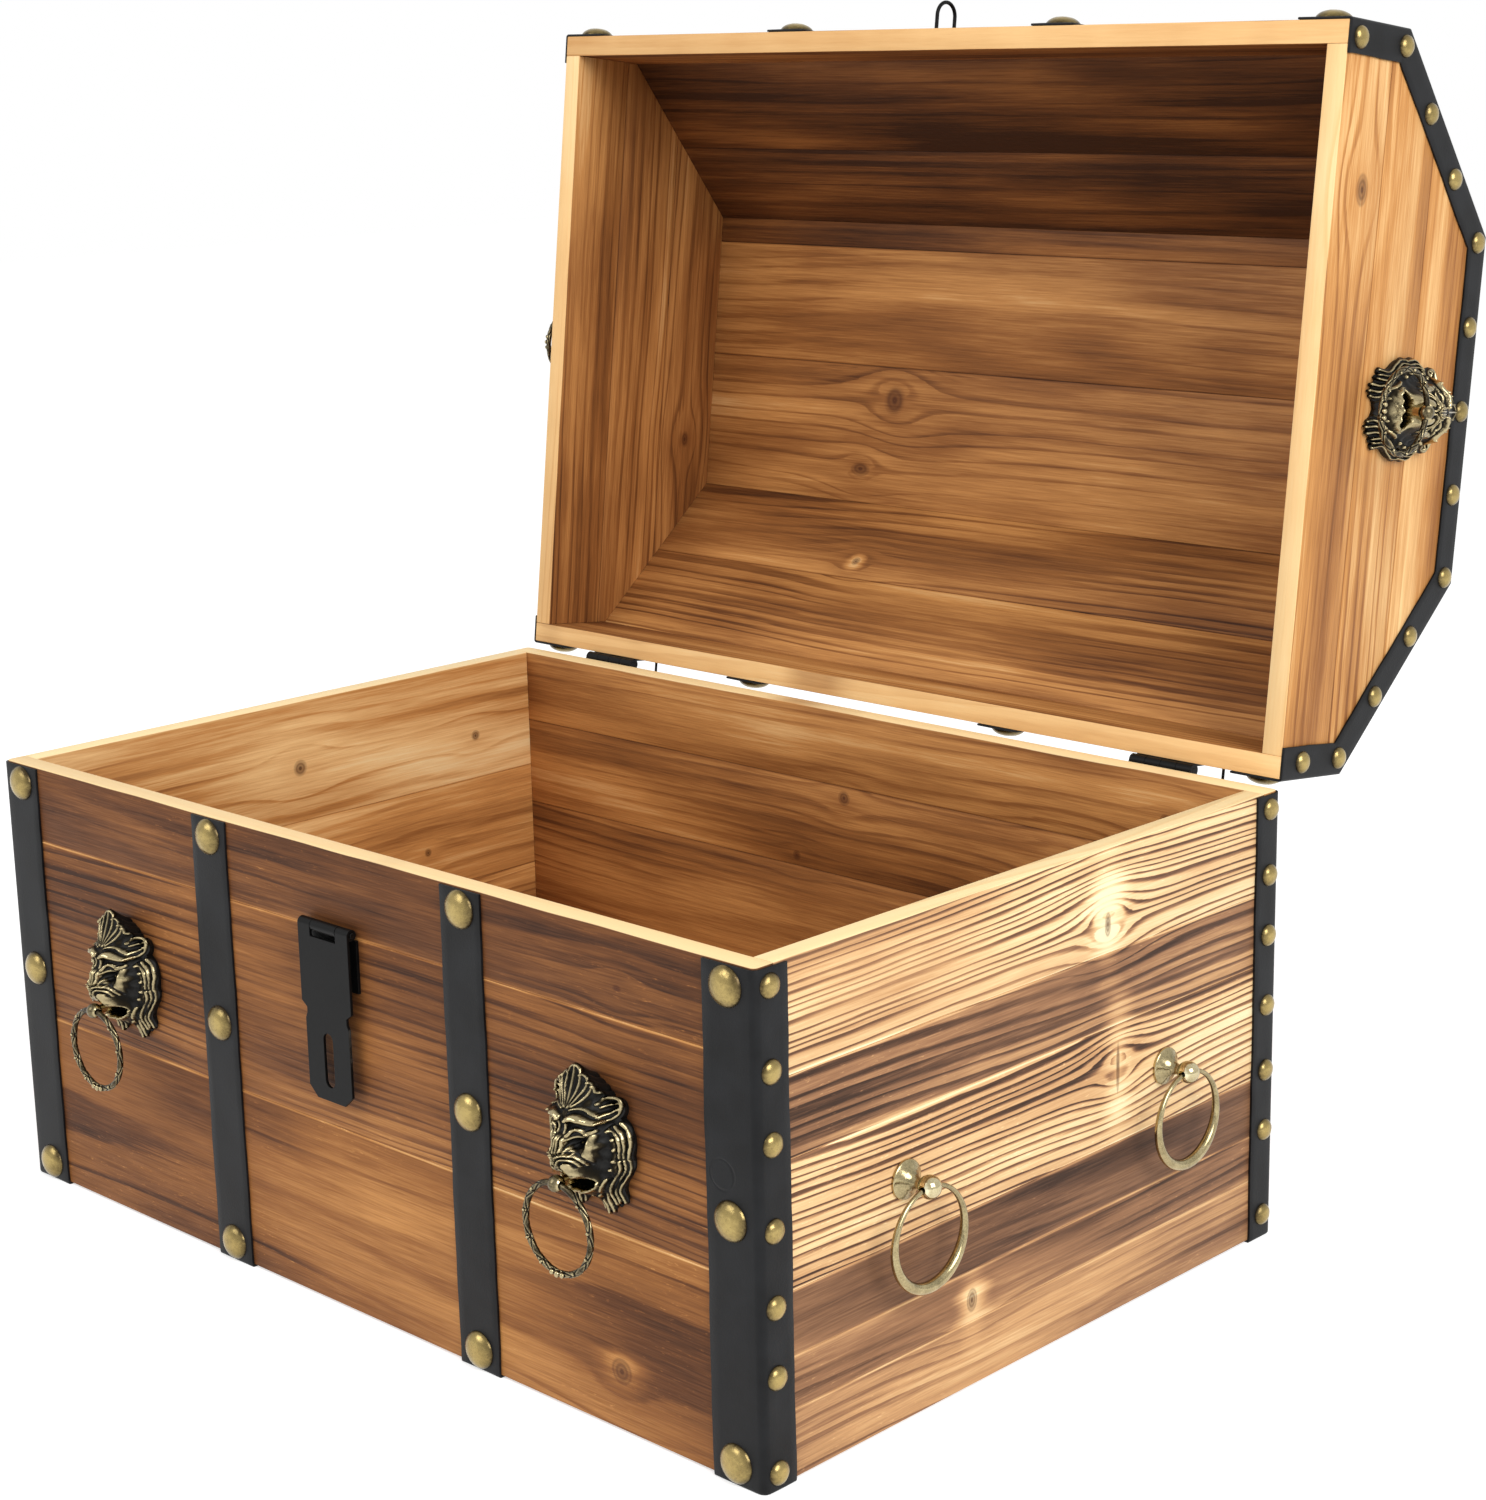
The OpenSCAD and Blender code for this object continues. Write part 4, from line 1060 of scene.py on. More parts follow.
small_gap = (BOX_H - 2 * SMALL_MARGIN) / (len(FRONT_LIFTS) - 1)
box_small = []
for wall in ("left", "right"):
    for y, lifts in ((SMALL_INSET - BOX_D / 2, FRONT_LIFTS), (BOX_D / 2 - SMALL_INSET, BACK_LIFTS)):
        along = y if wall == "right" else -y
        box_small += [faces[wall].matrix(along, SMALL_MARGIN + small_gap * (i + lift), LEATHER_T)
                      for i, lift in enumerate(lifts)]
fit(nails("box_small_domes", *SMALL_NAIL, box_small), "box", nail_brass,
    "box_small_nails")

# %% [markdown]
# The lid's nails are told by a board and a share of its length, as its straps are. The large ones
# keep clear of the bends by their own width, and the small ones sit on the bends and between them.

# %% Nails of the lid
LID_LARGE_X = (LID_W - FRONT_LEG) / 2
bend_share = LARGE_NAIL[0] / LID_TOP_D
lid_spots = [(0, LARGE_MARGIN / LID_SIDE_H), (1, 0.5), (2, bend_share), (2, 1 - bend_share), (3, 0.5),
             (4, 1 - LARGE_MARGIN / LID_SIDE_H)]
lid_large = [faces[SLAT_NAMES[i]].matrix(x, share * slat_lengths[i], LEATHER_T)
             for x in (-LID_LARGE_X, -MIDDLE_X, MIDDLE_X, LID_LARGE_X) for i, share in lid_spots]
fit(nails("lid_large_domes", *LARGE_NAIL, lid_large), "lid", nail_brass,
    "lid_large_nails")

BACK_RIM_SMALL = 17 * MM    # the last nail keeps clear of the hinges' side
thirds = (0, 1 / 3, 2 / 3)
small_rows = [(0, SMALL_MARGIN / LID_SIDE_H), *((1, t) for t in thirds),
              *((2, t) for t in (0, 0.25, 0.5, 0.75, 1)), *((3, 1 - t) for t in reversed(thirds)),
              (4, 1 - BACK_RIM_SMALL / LID_SIDE_H)]
lid_small = []
for end, sx in (("lid_right", 1), ("lid_left", -1)):
    for row in small_rows:
        y, z = on_outline(row, -SMALL_INSET)
        lid_small.append(faces[end].matrix(sx * y, z, LEATHER_T))
fit(nails("lid_small_domes", *SMALL_NAIL, lid_small), "lid", nail_brass,
    "lid_small_nails")

# %% [markdown]
# The cast parts are antique bronze: blackened all over and then rubbed, so the crests are pale and
# the hollows stay nearly black. The finish paints the hollows darker still as shade and the crests
# paler as highlight. It needs to know which is which. A point that stands out from the average of
# its neighbours is on a crest, so that is worked out once for each mesh and written on its points
# as an attribute, which the finish reads.

# %% Cast and rubbed metal, with painted shade and highlight
def write_relief(piece, depth, rounds=6):
    """Writes on each point how far it stands out: 0 in a hollow, 0.5 on the flat, 1 on a crest."""
    mesh = piece.data
    count = len(mesh.vertices)
    points = np.empty(count * 3)
    mesh.vertices.foreach_get("co", points)
    points = points.reshape(-1, 3)
    out = np.empty(count * 3)
    mesh.vertex_normals.foreach_get("vector", out)
    ends = np.empty(len(mesh.edges) * 2, dtype=int)
    mesh.edges.foreach_get("vertices", ends)
    one, other = ends.reshape(-1, 2).T
    neighbours = np.bincount(one, minlength=count) + np.bincount(other, minlength=count)
    blurred = points.copy()
    for _ in range(rounds):
        for axis in range(3):
            column = blurred[:, axis]
            total = (np.bincount(one, column[other], count) + np.bincount(other, column[one], count))
            blurred[:, axis] = 0.5 * column + 0.5 * total / np.maximum(neighbours, 1)
    stand = ((points - blurred) * out.reshape(-1, 3)).sum(axis=1)
    write_rub_and_painted_light(piece, np.clip(0.5 + 0.5 * stand / depth, 0, 1))


def cast_metal(name, pit, flat, crest, rough):
    """Metal that was darkened and then rubbed on its crests, plus painted shade and highlight."""
    metal = Finish(name)
    spot = metal.node("TexCoord", output="Object")
    rub = metal.node("Attribute", {"attribute_name": "rub"}, output="Fac")
    grit = metal.noise(spot, 1500.0, 3.0, 0.6)
    clouds = metal.noise(spot, 240.0, 3.0)
    share = (rub + grit * 0.3 + clouds * 0.3).clamped()
    # The pit colour is partly blackened patina and partly painted shade; the crest colour is partly
    # rubbed metal and partly painted highlight.
    tone = metal.ramp(share, [(0.32, pit), (0.60, flat), (0.95, crest)])
    return metal.wear(base_color=tone, metallic=share.step(0.1, 0.45) * 0.5 + 0.5,
                      roughness=(rough + (0.5 - share) * 0.5 + grit * 0.2).clamped(),
                      normal=metal.bump(grit + clouds, 0.08 * MM, 0.4))


bronze = cast_metal("antique_bronze_and_painted_shade", paint(13, 12, 10), paint(50, 44, 33), paint(168, 154, 118), 0.36)

# %% [markdown]
# Castings start as a sheet of points that is wrapped round until its edges meet, and turned things
# are spun from an outline. Both are then closed along their seams, and their faces turned outwards.

# %% Wrapped and turned shapes
def wrapped(name, rows, columns, place):
    """A sheet whose edges meet, with its seam closed and its faces outwards."""
    made = sheet(name, rows, columns, place)
    with whole_mesh(made):
        bpy.ops.mesh.remove_doubles(threshold=SEAM_GAP)
        bpy.ops.mesh.normals_make_consistent(inside=False)
    return made


def turned(name, outline, place, steps=32):
    """Spins a closed outline of (distance from the axis, height) round Z, and puts it in its place."""
    bpy.ops.mesh.primitive_circle_add(vertices=len(outline), fill_type="NOTHING")
    made = bpy.context.object
    made.name = name
    for vertex, (far, height) in zip(made.data.vertices, outline):
        vertex.co = (far, 0, height)
    with whole_mesh(made):
        bpy.ops.mesh.spin(steps=steps, angle=2 * math.pi, center=(0, 0, 0), axis=(0, 0, 1))
        bpy.ops.mesh.select_all(action="SELECT")
        bpy.ops.mesh.remove_doubles(threshold=SAME_PLACE)
        bpy.ops.mesh.dissolve_degenerate(threshold=SAME_PLACE / 10)
        bpy.ops.mesh.normals_make_consistent(inside=False)
    made.matrix_world = place
    settle(made)
    smooth(made, 35)
    return made


def drilled_ball(name, radius, hole, place):
    """A ball with a hole along its own Z."""
    end = math.asin(hole / radius)
    arc = [(radius * math.sin(a), radius * math.cos(a)) for a in spaced(end, math.pi - end, 0.16)]
    return turned(name, arc, place)

# %% [markdown]
# Each lion is a deep casting, about 24 mm from the board to the tip of its muzzle. A web of points
# fills the outline, and three tables shape it: heights measured at some ninety places, which a smooth
# surface is drawn through; hollows pressed in for the eyes and the mouth; and cords laid on top or
# scored in, for the brows, the locks of the mane and the ribs of the crown. The face is the same on
# both sides, so only its right half is written down, in millimetres across and up from the bead.

# %% The lion: its outline, heights and hollows
LION_MIDDLE = (0, 11)
LION_EDGE = [
    (0, 46.9), (1.4, 46.6), (2.9, 45.4), (3.5, 43.9), (4.8, 43.7), (6.4, 42.9), (7.4, 41.4), (8.6, 41.1),
    (9.6, 40.2), (10.3, 38.6), (10.4, 37.6), (11.8, 37.4), (12.6, 36.0), (12.2, 34.6), (12.4, 34.2),
    (14.4, 35.4), (17.4, 35.3), (19.2, 34.2), (20.1, 31.4), (19.4, 28.2), (18.2, 26.0), (19.6, 25.2),
    (22.1, 22.8), (23.8, 18.8), (24.2, 15.0), (23.5, 10.8), (23.9, 8.6), (23.5, 5.4), (21.9, 2.2),
    (19.9, -0.7), (18.3, -3.6), (18.2, -6.0), (18.9, -9.4), (17.2, -10.9), (16.0, -9.6), (14.8, -12.9),
    (13.1, -11.2), (11.3, -16.2), (9.9, -13.6), (8.3, -17.4), (7.0, -14.2), (5.8, -15.8), (3.8, -12.4),
    (0, -10.6),
]
HEIGHTS = [  # across, up, how high
    (0, 46.7, 10.2), (5, 42.5, 10.2), (9, 39.8, 9.6), (12, 36.4, 8), (0, 38, 12.6), (4.5, 37, 12.6),
    (7.8, 36, 11.2), (0, 30, 15.7), (5, 32, 14), (8.6, 32.4, 11.2), (0, 28, 17.3), (4, 29.8, 16),
    (8, 29.8, 13.6), (12, 28.5, 10.8), (14.2, 27, 9.2), (0, 24.5, 17.9), (4, 26.5, 18.6),
    (8, 26.5, 17.4), (11, 25.4, 14.4), (13.8, 24.8, 10.6), (0, 21, 18.4), (2.2, 21, 18.6),
    (4.4, 22, 17), (7.5, 21, 15.6), (10, 20.5, 13.8), (12, 21.2, 11.5), (0, 19.2, 21.2), (0, 15, 22.9),
    (0, 9.7, 23.2), (0, 6, 22.4), (2.6, 18, 21.2), (3.4, 14, 22), (4.4, 17, 18.4), (5.2, 12.6, 20.8),
    (7, 12.2, 18.2), (6, 16.4, 14.6), (8.4, 17.6, 14.2), (5, 15.4, 15.2), (10, 16.8, 15.2),
    (11.7, 20, 13.2), (8.6, 12.2, 17), (12.2, 15.4, 13.6), (11.7, 12, 13.2), (9.8, 8.2, 13.6),
    (13.8, 18.5, 8.4), (14, 13, 8), (13.2, 7.5, 8), (12, 2, 8.2), (4.2, 7.2, 22.4), (4.2, 10.8, 22.2),
    (8.2, 10.4, 17.6), (7.8, 6.8, 16.6), (5.2, 2.4, 19.4), (7.6, 2.2, 14.4), (0, 3.4, 20), (0, -2, 6),
    (5, -2, 6), (9, -1.6, 11.4), (0, -5.6, 14), (4.6, -5.6, 12.6), (8.4, -4.4, 11), (0, -8.6, 8),
    (4.6, -8.6, 7), (9.5, -7, 6), (15.4, 21.4, 8), (17, 18, 7.6), (17.6, 14, 7.5), (17, 9, 7.4),
    (15.6, 5, 7.4), (20, 18.6, 6), (20, 11, 6), (22, 17, 4.4), (24.4, 17, 1.8), (24, 8, 1.8),
    (22, 4.7, 3.6), (18.4, 0.8, 4), (19.1, 5.1, 5.4), (15.2, -1.2, 5.4), (13, -6, 5.2), (19.6, -6, 2),
    (15, -12, 2), (11, -15.5, 1.8), (8, -16.6, 1.8), (10, -11, 3.6), (0, -11, 2), (4, -12, 2),
    (14.2, 24.4, 7.4), (10.6, 33, 7.2), (17.4, 34.4, 3.8), (19, 31.2, 3.6), (17.6, 26.4, 4.6),
    (13.8, 29.6, 4.4), (19, 24.4, 4), (21.4, 22.8, 2.4),
]
HOLLOWS = [  # across, up, half width, half height, how high its floor is
    (6.2, 16.6, 2.9, 2.3, 12.6), (0, -1.6, 8.4, 2.6, 5), (4.4, -1.6, 6, 2.6, 5), (2, 6.6, 1, 0.8, 20.6),
]
print("the lion has", len(LION_EDGE), "points on its edge and", len(HEIGHTS), "heights")

# %% [markdown]
# Cords are the carver's lines. Those that stand up are followed by scored ones, which makes the brows,
# the folds of the muzzle, the ear and each lock of the mane read as separate strands. The knots
# between the cheek and the mane, the whiskers and the ribs of the crown are added by rule.

# %% The lion: its cords
CORDS = [  # half width, how high above the surface (below it, for a groove), points
    (0.5, 0.9, [(2.4, 29.4), (4.5, 30.2), (6.6, 30.4), (8.6, 29.8), (10.6, 28.6), (13.2, 27.2)]),
    (0.8, -1.1, [(2.0, 28.2), (4.8, 29.2), (7.6, 29.1), (9.8, 27.9), (12.6, 26.7)]),
    (1.5, 1.7, [(2.6, 26.3), (4.8, 27.3), (7.0, 27.2), (9.0, 26.8), (10.4, 26.0), (11.9, 25.4),
                (13.9, 25.6)]),
    (0.7, 1.0, [(2.3, 25.6), (1.6, 23.0), (1.8, 20.9)]),
    (0.9, -1.3, [(2.9, 21.4), (3.8, 23.6), (6.2, 24.3), (8.6, 23.7), (11.4, 22.9)]),
    (0.9, 1.6, [(3.4, 20.0), (4.2, 21.3), (5.7, 22.1), (7.2, 22.4), (8.4, 21.7), (9.4, 20.9),
                (11.9, 21.8)]),
    (0.75, 1.1, [(4.5, 18.5), (5.4, 19.1), (6.8, 19.4), (8.6, 19.4), (9.9, 20.3)]),
    (0.6, 1.8, [(4.5, 15.1), (5.4, 15.7), (6.8, 16.4)]),
    (0.5, 0.8, [(0.7, 19.2), (0.8, 14.5), (1.0, 10.8)]),
    (0.5, -1.0, [(1.5, 19.0), (1.6, 15.0), (1.4, 11.2)]),
    (0.6, 1.0, [(2.4, 18.6), (2.5, 15.0), (1.9, 11.4)]),
    (0.5, -1.3, [(3.3, 17.4), (3.2, 15.0), (2.5, 12.2)]),
    (0.5, 0.9, [(3.9, 15.9), (3.6, 14.2), (3.2, 12.8)]),
    (0.6, 0.9, [(4.1, 15.3), (5.6, 13.6), (7.1, 12.2)]),
    (0.4, 0.6, [(4.9, 14.0), (4.2, 12.6)]),
    (0.4, 0.6, [(6.0, 13.0), (5.3, 11.9)]),
    (1.5, 0.7, [(11.4, 19.6), (10.6, 16.6), (10.1, 13.0), (10.1, 9.4)]),
    (1.0, 2.0, [(0, -4.8), (4.0, -5.2), (7.4, -4.4), (9.8, -1.6)]),
    (1.0, 1.6, [(10.6, 32.0), (12.4, 34.0), (14.8, 34.5), (17.4, 34.4), (18.9, 32.6), (18.2, 29.4),
                (16.0, 26.8), (14.0, 25.6)]),
    (0.6, -1.7, [(11.9, 32.3), (14.6, 32.8), (17.3, 33.4)]),
    (0.55, 1.6, [(11.8, 30.7), (13.4, 31.2), (15.6, 31.7), (17.7, 32.8)]),
    (0.6, -1.7, [(12.2, 29.2), (14.6, 29.9), (17.7, 31.4)]),
    (0.55, 1.6, [(13.0, 27.8), (14.8, 28.5), (16.2, 29.4), (18.0, 30.4)]),
    (0.6, -1.6, [(13.6, 26.4), (15.6, 27.2), (17.4, 28.9)]),
    (0.75, 1.3, [(18.8, 24.6), (20.5, 22.9), (21.6, 21.3), (22.7, 19.0), (23.1, 16.6), (22.8, 14.0),
                 (22.2, 11.1)]),
    (0.7, -1.1, [(17.8, 23.8), (20.6, 21.3), (22.1, 17.2), (21.6, 11.2)]),
    (0.75, 1.4, [(16.6, 23.2), (18.1, 21.9), (19.8, 20.6), (21.0, 18.5), (21.2, 16.0), (20.7, 11.2)]),
    (0.7, -1.1, [(16.0, 22.6), (18.6, 20.4), (20.4, 17.2), (20.2, 11.2)]),
    (0.75, 1.4, [(15.4, 22.5), (17.3, 21.1), (19.0, 19.4), (19.8, 16.8), (19.7, 13.9), (19.2, 11.1)]),
    (0.8, -1.2, [(16.2, 20.6), (18.5, 17.0), (18.7, 12.8), (18.3, 9.4)]),
    (0.75, 1.3, [(22.5, 9.9), (22.5, 7.4), (22.2, 4.8), (20.3, 1.6), (17.8, -1.9), (16.6, -5.0),
                 (17.7, -9.6)]),
    (0.7, -1.1, [(21.9, 9.4), (21.8, 5.2), (19.6, 1.8), (17.0, -1.7), (16.0, -5.2), (16.8, -9.4)]),
    (0.75, 1.4, [(21.2, 9.4), (21.2, 7.2), (20.8, 5.0), (18.9, 2.2), (16.4, -1.5), (15.2, -5.6),
                 (15.6, -10.4)]),
    (0.7, -1.1, [(20.3, 8.8), (20.2, 5.4), (18.0, 2.2), (15.6, -1.8), (14.3, -5.9), (14.8, -11.6)]),
    (0.75, 1.4, [(19.4, 9.0), (19.5, 6.6), (18.7, 4.2), (16.5, 1.1), (14.5, -2.2), (13.1, -6.0),
                 (13.9, -11.0)]),
    (0.8, -1.2, [(18.4, 6.4), (16.6, 2.6), (14.0, -1.2), (12.2, -5.8), (12.2, -11.8)]),
    (0.75, 1.3, [(17.6, 4.8), (15.5, 1.0), (13.2, -2.4), (11.6, -6.0), (10.4, -10.4), (11.3, -15.0)]),
    (0.7, -1.1, [(14.4, 0.6), (11.4, -4.6), (9.6, -9.4), (9.7, -13.2)]),
    (0.75, 1.3, [(12.8, 0.2), (10.4, -5.4), (7.8, -10.2), (8.3, -16.4)]),
    (0.7, -1.0, [(10.0, -6.8), (6.8, -10.8), (7.0, -14.0)]),
    (0.75, 1.2, [(8.6, -7.6), (5.2, -11.2), (5.8, -15.0)]),
    (0.75, 1.0, [(5.2, -8.4), (3.0, -11.8)]),
]
KNOTS = ((15.0, 21.5), (17.0, 18.2), (17.6, 13.9), (16.9, 9.0), (15.2, 5.0))
for x, y in KNOTS:
    CORDS.append((0.8, 1.4, [(x - 0.15, y), (x + 0.15, y)]))
WHISKERS = (4.2, 7.2)
WHISKER_ROWS = ((2.5, 0.7, -1.5), (3.6, 0.5, 0.9), (4.4, 0.5, -0.9), (5.2, 0.5, 0.9), (6.1, 0.5, -0.9))
for far, wide, rise in WHISKER_ROWS:
    CORDS.append((wide, rise, [(WHISKERS[0] + far * math.cos(a), WHISKERS[1] + far * math.sin(a))
                               for a in np.radians(range(165, -15, -20))]))
CROWN_RIBS = [
    [(0, 45.6), (0, 38.0), (0, 31.0)],
    [(3.4, 42.8), (3.6, 39.3), (3.0, 36.1), (1.6, 33.0), (0.6, 30.2)],
    [(7.4, 40.8), (6.3, 37.6), (4.4, 34.8), (2.5, 32.0), (1.3, 30.3)],
    [(9.3, 39.4), (8.2, 36.6), (6.6, 34.2), (4.6, 32.2), (2.6, 30.8)],
]
CORDS += [(0.5, 1.2, rib) for rib in CROWN_RIBS]
CORDS.append((0.55, 1.0, [(x * 0.96, y - 0.7) for x, y in LION_EDGE[:12]]))     # the crown's own rim
print("and", len(CORDS), "cords")

# %% [markdown]
# A smooth surface has to pass through all the heights. Each place pulls on the surface with a cone
# that is rounded at its tip, and one system of equations gives every pull its strength. Hollows and
# cords are then added to that surface.

# %% The lion: its relief
def curve_through(points, count):
    """Points of a smooth curve, evenly spaced along the given ones."""
    points = np.array(points, dtype=float)
    if len(points) > 2:
        ends = np.vstack([2 * points[0] - points[1], points, 2 * points[-1] - points[-2]])
        fine = []
        for a, b, c, d in zip(ends[:-3], ends[1:-2], ends[2:-1], ends[3:]):
            for t in np.linspace(0, 1, 8, endpoint=False):
                fine.append(0.5 * (2 * b + (c - a) * t + (2 * a - 5 * b + 4 * c - d) * t * t
                                   + (3 * b - a - 3 * c + d) * t ** 3))
        points = np.vstack([fine, points[-1]])
    walked = np.concatenate([[0], np.cumsum(np.hypot(*np.diff(points, axis=0).T))])
    return np.column_stack([np.interp(np.linspace(0, walked[-1], count), walked, points[:, k])
                            for k in (0, 1)])


NEAR = 0.7      # millimetres over which the surface rounds off at each measured height
THINNEST = 1.2

measured = np.array(HEIGHTS, dtype=float)
measured = np.vstack([measured, measured[measured[:, 0] > 0] * (-1, 1, 1)])


def apart(at):
    """Distance from each point to each measured one."""
    gap = at[:, None, :] - measured[None, :, :2]
    return np.sqrt((gap ** 2).sum(axis=2) + NEAR ** 2)


pulls = np.linalg.solve(apart(measured[:, :2]), measured[:, 2])


def cord_share(at, points, wide):
    """1 along the middle of a cord, 0 beside it, with a round section."""
    line = curve_through(points, max(2, int(5 * len(points))))
    nearest = np.full(len(at), 1e9)
    for start, end in zip(line[:-1], line[1:]):
        run = end - start
        share = np.clip(((at - start) @ run) / max(run @ run, 1e-12), 0, 1)
        nearest = np.minimum(nearest, np.hypot(*(at - start - share[:, None] * run).T))
    return np.sqrt(np.clip(1 - (nearest / wide) ** 2, 0, None))


def lion_height(at):
    """Height of the casting over points of its right half."""
    height = apart(at) @ pulls
    for across, up, wide, tall, floor_height in HOLLOWS:
        inside = np.clip(1 - ((at[:, 0] - across) / wide) ** 2 - ((at[:, 1] - up) / tall) ** 2, 0, 1)
        height = height - np.clip(height - floor_height, 0, None) * np.clip(inside * 1.5, 0, 1)
    for wide, rise, points in CORDS:
        height = height + rise * cord_share(at, points, wide)
    return np.maximum(height, THINNEST)


# %% [markdown]
# The rubbing and the painted shade are worked out on a fine grid of the same heights: a point is
# rubbed pale where it stands out from its near surroundings, as a cord does. Against its wider
# surroundings, as the muzzle stands out of them, a point is painted paler as highlight where it
# stands out and darker as shade where it lies low.

# %% The lion: its rubbed crests and painted shade
GRID_STEP = 0.3
GRID_LOW = (0.0, -19.0)
grid_across = np.arange(GRID_LOW[0], 27, GRID_STEP)
grid_up = np.arange(GRID_LOW[1], 49, GRID_STEP)
spots = np.stack(np.meshgrid(grid_across, grid_up, indexing="ij"), axis=2)
grid_height = lion_height(spots.reshape(-1, 2)).reshape(spots.shape[:2])


def blurred(heights, reach):
    """The heights averaged over their surroundings. The left half mirrors the right one."""
    size = int(3 * reach / GRID_STEP)
    weights = np.exp(-0.5 * (np.arange(-size, size + 1) * GRID_STEP / reach) ** 2)
    weights /= weights.sum()
    both = np.pad(np.concatenate([heights[:0:-1], heights]), size, mode="edge")
    for axis in (0, 1):
        both = np.apply_along_axis(np.convolve, axis, both, weights, mode="valid")
    return both[len(heights) - 1:]


# The near term is the rubbing of the cords and crests; the wide term is painted shade in broad hollows
# and painted highlight on broad rises.
grid_rub_and_shade = np.clip(0.43 + 0.5 * (grid_height - blurred(grid_height, 0.75)) / 0.7
                   + 0.5 * (grid_height - blurred(grid_height, 3.0)) / 3.6, 0, 1)


def rub_and_shade_at(at):
    """How much the casting is rubbed and painted with shade at each point, from the grid."""
    places = (np.abs(at) * (1, 0) + at * (0, 1) - GRID_LOW) / GRID_STEP
    low = np.clip(places.astype(int), 0, np.array(grid_rub_and_shade.shape) - 2)
    u, v = np.clip(places - low, 0, 1).T
    i, j = low.T
    return ((grid_rub_and_shade[i, j] * (1 - u) + grid_rub_and_shade[i + 1, j] * u) * (1 - v)
            + (grid_rub_and_shade[i, j + 1] * (1 - u) + grid_rub_and_shade[i + 1, j + 1] * u) * v)


# %% [markdown]
# The casting is one closed sheet: rings of points run from its middle out to its edge, down its wall
# to the board and back in. The wall draws in a little on its way down, and more below the crown,
# which leans forward. Two numbers more are needed for the finish, because the wall is never rubbed
# and is painted dark as shade.

# %% The lion: its web
LION_ROUND = 480
LION_RINGS = 72
RING_CROWDING = 0.85    # under 1, the rings lie closer together towards the edge
EDGE_DROP = 0.5         # how far the outermost ring is rounded down
CROWN_FOOT = 30.0
CROWN_LEAN = 0.13       # share by which the crown's foot on the board is lower than its front edge
# the wall's place on the finish's ramp, which paints it dark as shade
WALL_PAINTED_SHADE = 0.12
WALL_SHARE = 0.8        # a point below this share of the relief's height is on the wall


def lion_web():
    """Rings of points from the casting's middle to its edge, down to the board and back in."""
    right = curve_through(LION_EDGE, LION_ROUND // 2 + 1)
    left = right[-2:0:-1] * (-1, 1)
    edge = np.vstack([right, left, right[:1]])
    middle = np.array(LION_MIDDLE)
    rings = []
    for ring in range(LION_RINGS + 1):
        at = middle + (edge - middle) * (ring / LION_RINGS) ** RING_CROWDING
        height = lion_height(np.abs(at) * (1, 0) + at * (0, 1))
        rings.append(np.column_stack([at, height]))
    rings[-1][:, 2] = np.maximum(rings[-1][:, 2] - EDGE_DROP, 0.8)
    rim = rings[-1][:, 2]
    lean = CROWN_LEAN * np.clip((edge[:, 1:] - CROWN_FOOT) / (edge[:, 1].max() - CROWN_FOOT), 0, 1)
    for share, inward in ((0.75, 0.02), (0.5, 0.04), (0.25, 0.05), (0.0, 0.05)):
        at = middle + (edge - middle) * (1 - inward - lean * (1 - share))
        rings.append(np.column_stack([at, rim * share]))
    rings.append(np.column_stack([middle + 0 * edge, 0 * rim]))
    return rings


lion_rings = lion_web()
print("the lion's web has", len(lion_rings), "rings of", LION_ROUND, "points")


def lion_head():
    """The casting at the origin, facing up. Its walls are painted dark as shade, and its crests are
    rubbed.
    """
    head = wrapped("lion_head", len(lion_rings), LION_ROUND + 1,
                   lambda row, column: Vector(lion_rings[row][column]) * MM)
    smooth(head, 180)
    spots = np.empty(len(head.data.vertices) * 3)
    head.data.vertices.foreach_get("co", spots)
    spots = spots.reshape(-1, 3) / MM
    relief = lion_height(np.abs(spots[:, :2]) * (1, 0) + spots[:, :2] * (0, 1))
    on_wall = spots[:, 2] < WALL_SHARE * relief
    # The wall is given painted shade, and the rest its rubbing and painted shade from the grid.
    write_rub_and_painted_light(head, np.where(on_wall, WALL_PAINTED_SHADE, rub_and_shade_at(spots[:, :2])))
    return head


first_head = lion_head()

# %% [markdown]
# In the lion's mouth a short stem holds a drilled bead, and the ring hangs in its hole. How far the
# bead reaches out is read from the joint that the ring swings on.

# %% The lion: its bead
swing_at = {joint["name"]: Vector(joint["pos_m"]) for joint in frame["joints"]}
BEAD_REACH = box_low.y - swing_at["front_ring_left_swing"].y
BEAD_R = 3.6 * MM
LION_HOLE_R = 1.9 * MM
STEM_R = 2.2 * MM
STEM_FOOT = 5 * MM
STEM_SINK = 2.9 * MM    # its end lies this far under the bead's middle


def lion(name, place):
    """A lion's head with the bead that its ring hangs from. Place faces out of the board."""
    head = bpy.data.objects.new(name, first_head.data.copy())
    bpy.context.collection.objects.link(head)
    head.matrix_world = place
    settle(head)
    stem_top = BEAD_REACH - STEM_SINK
    outline = [(0, STEM_FOOT), (STEM_R, STEM_FOOT), (STEM_R, stem_top), (0, stem_top)]
    stem = turned("stem", outline, place)
    across = place @ Matrix.Translation((0, 0, BEAD_REACH)) @ Matrix.Rotation(math.pi / 2, 4, "Y")
    bead = drilled_ball("bead", BEAD_R, LION_HOLE_R, across)
    for piece in (stem, bead):
        write_relief(piece, 0.4 * MM)
    return merge([head, stem, bead], name)


# %% [markdown]
# A lion's ring is cast too. Ribbons of leaf wind round the rod both ways, with small beads where they
# cross and a cluster of beads at the foot. The rod is a closed tube of points. Each point is pushed
# out or in by how far it is from the nearest ribbon's edge and bead.

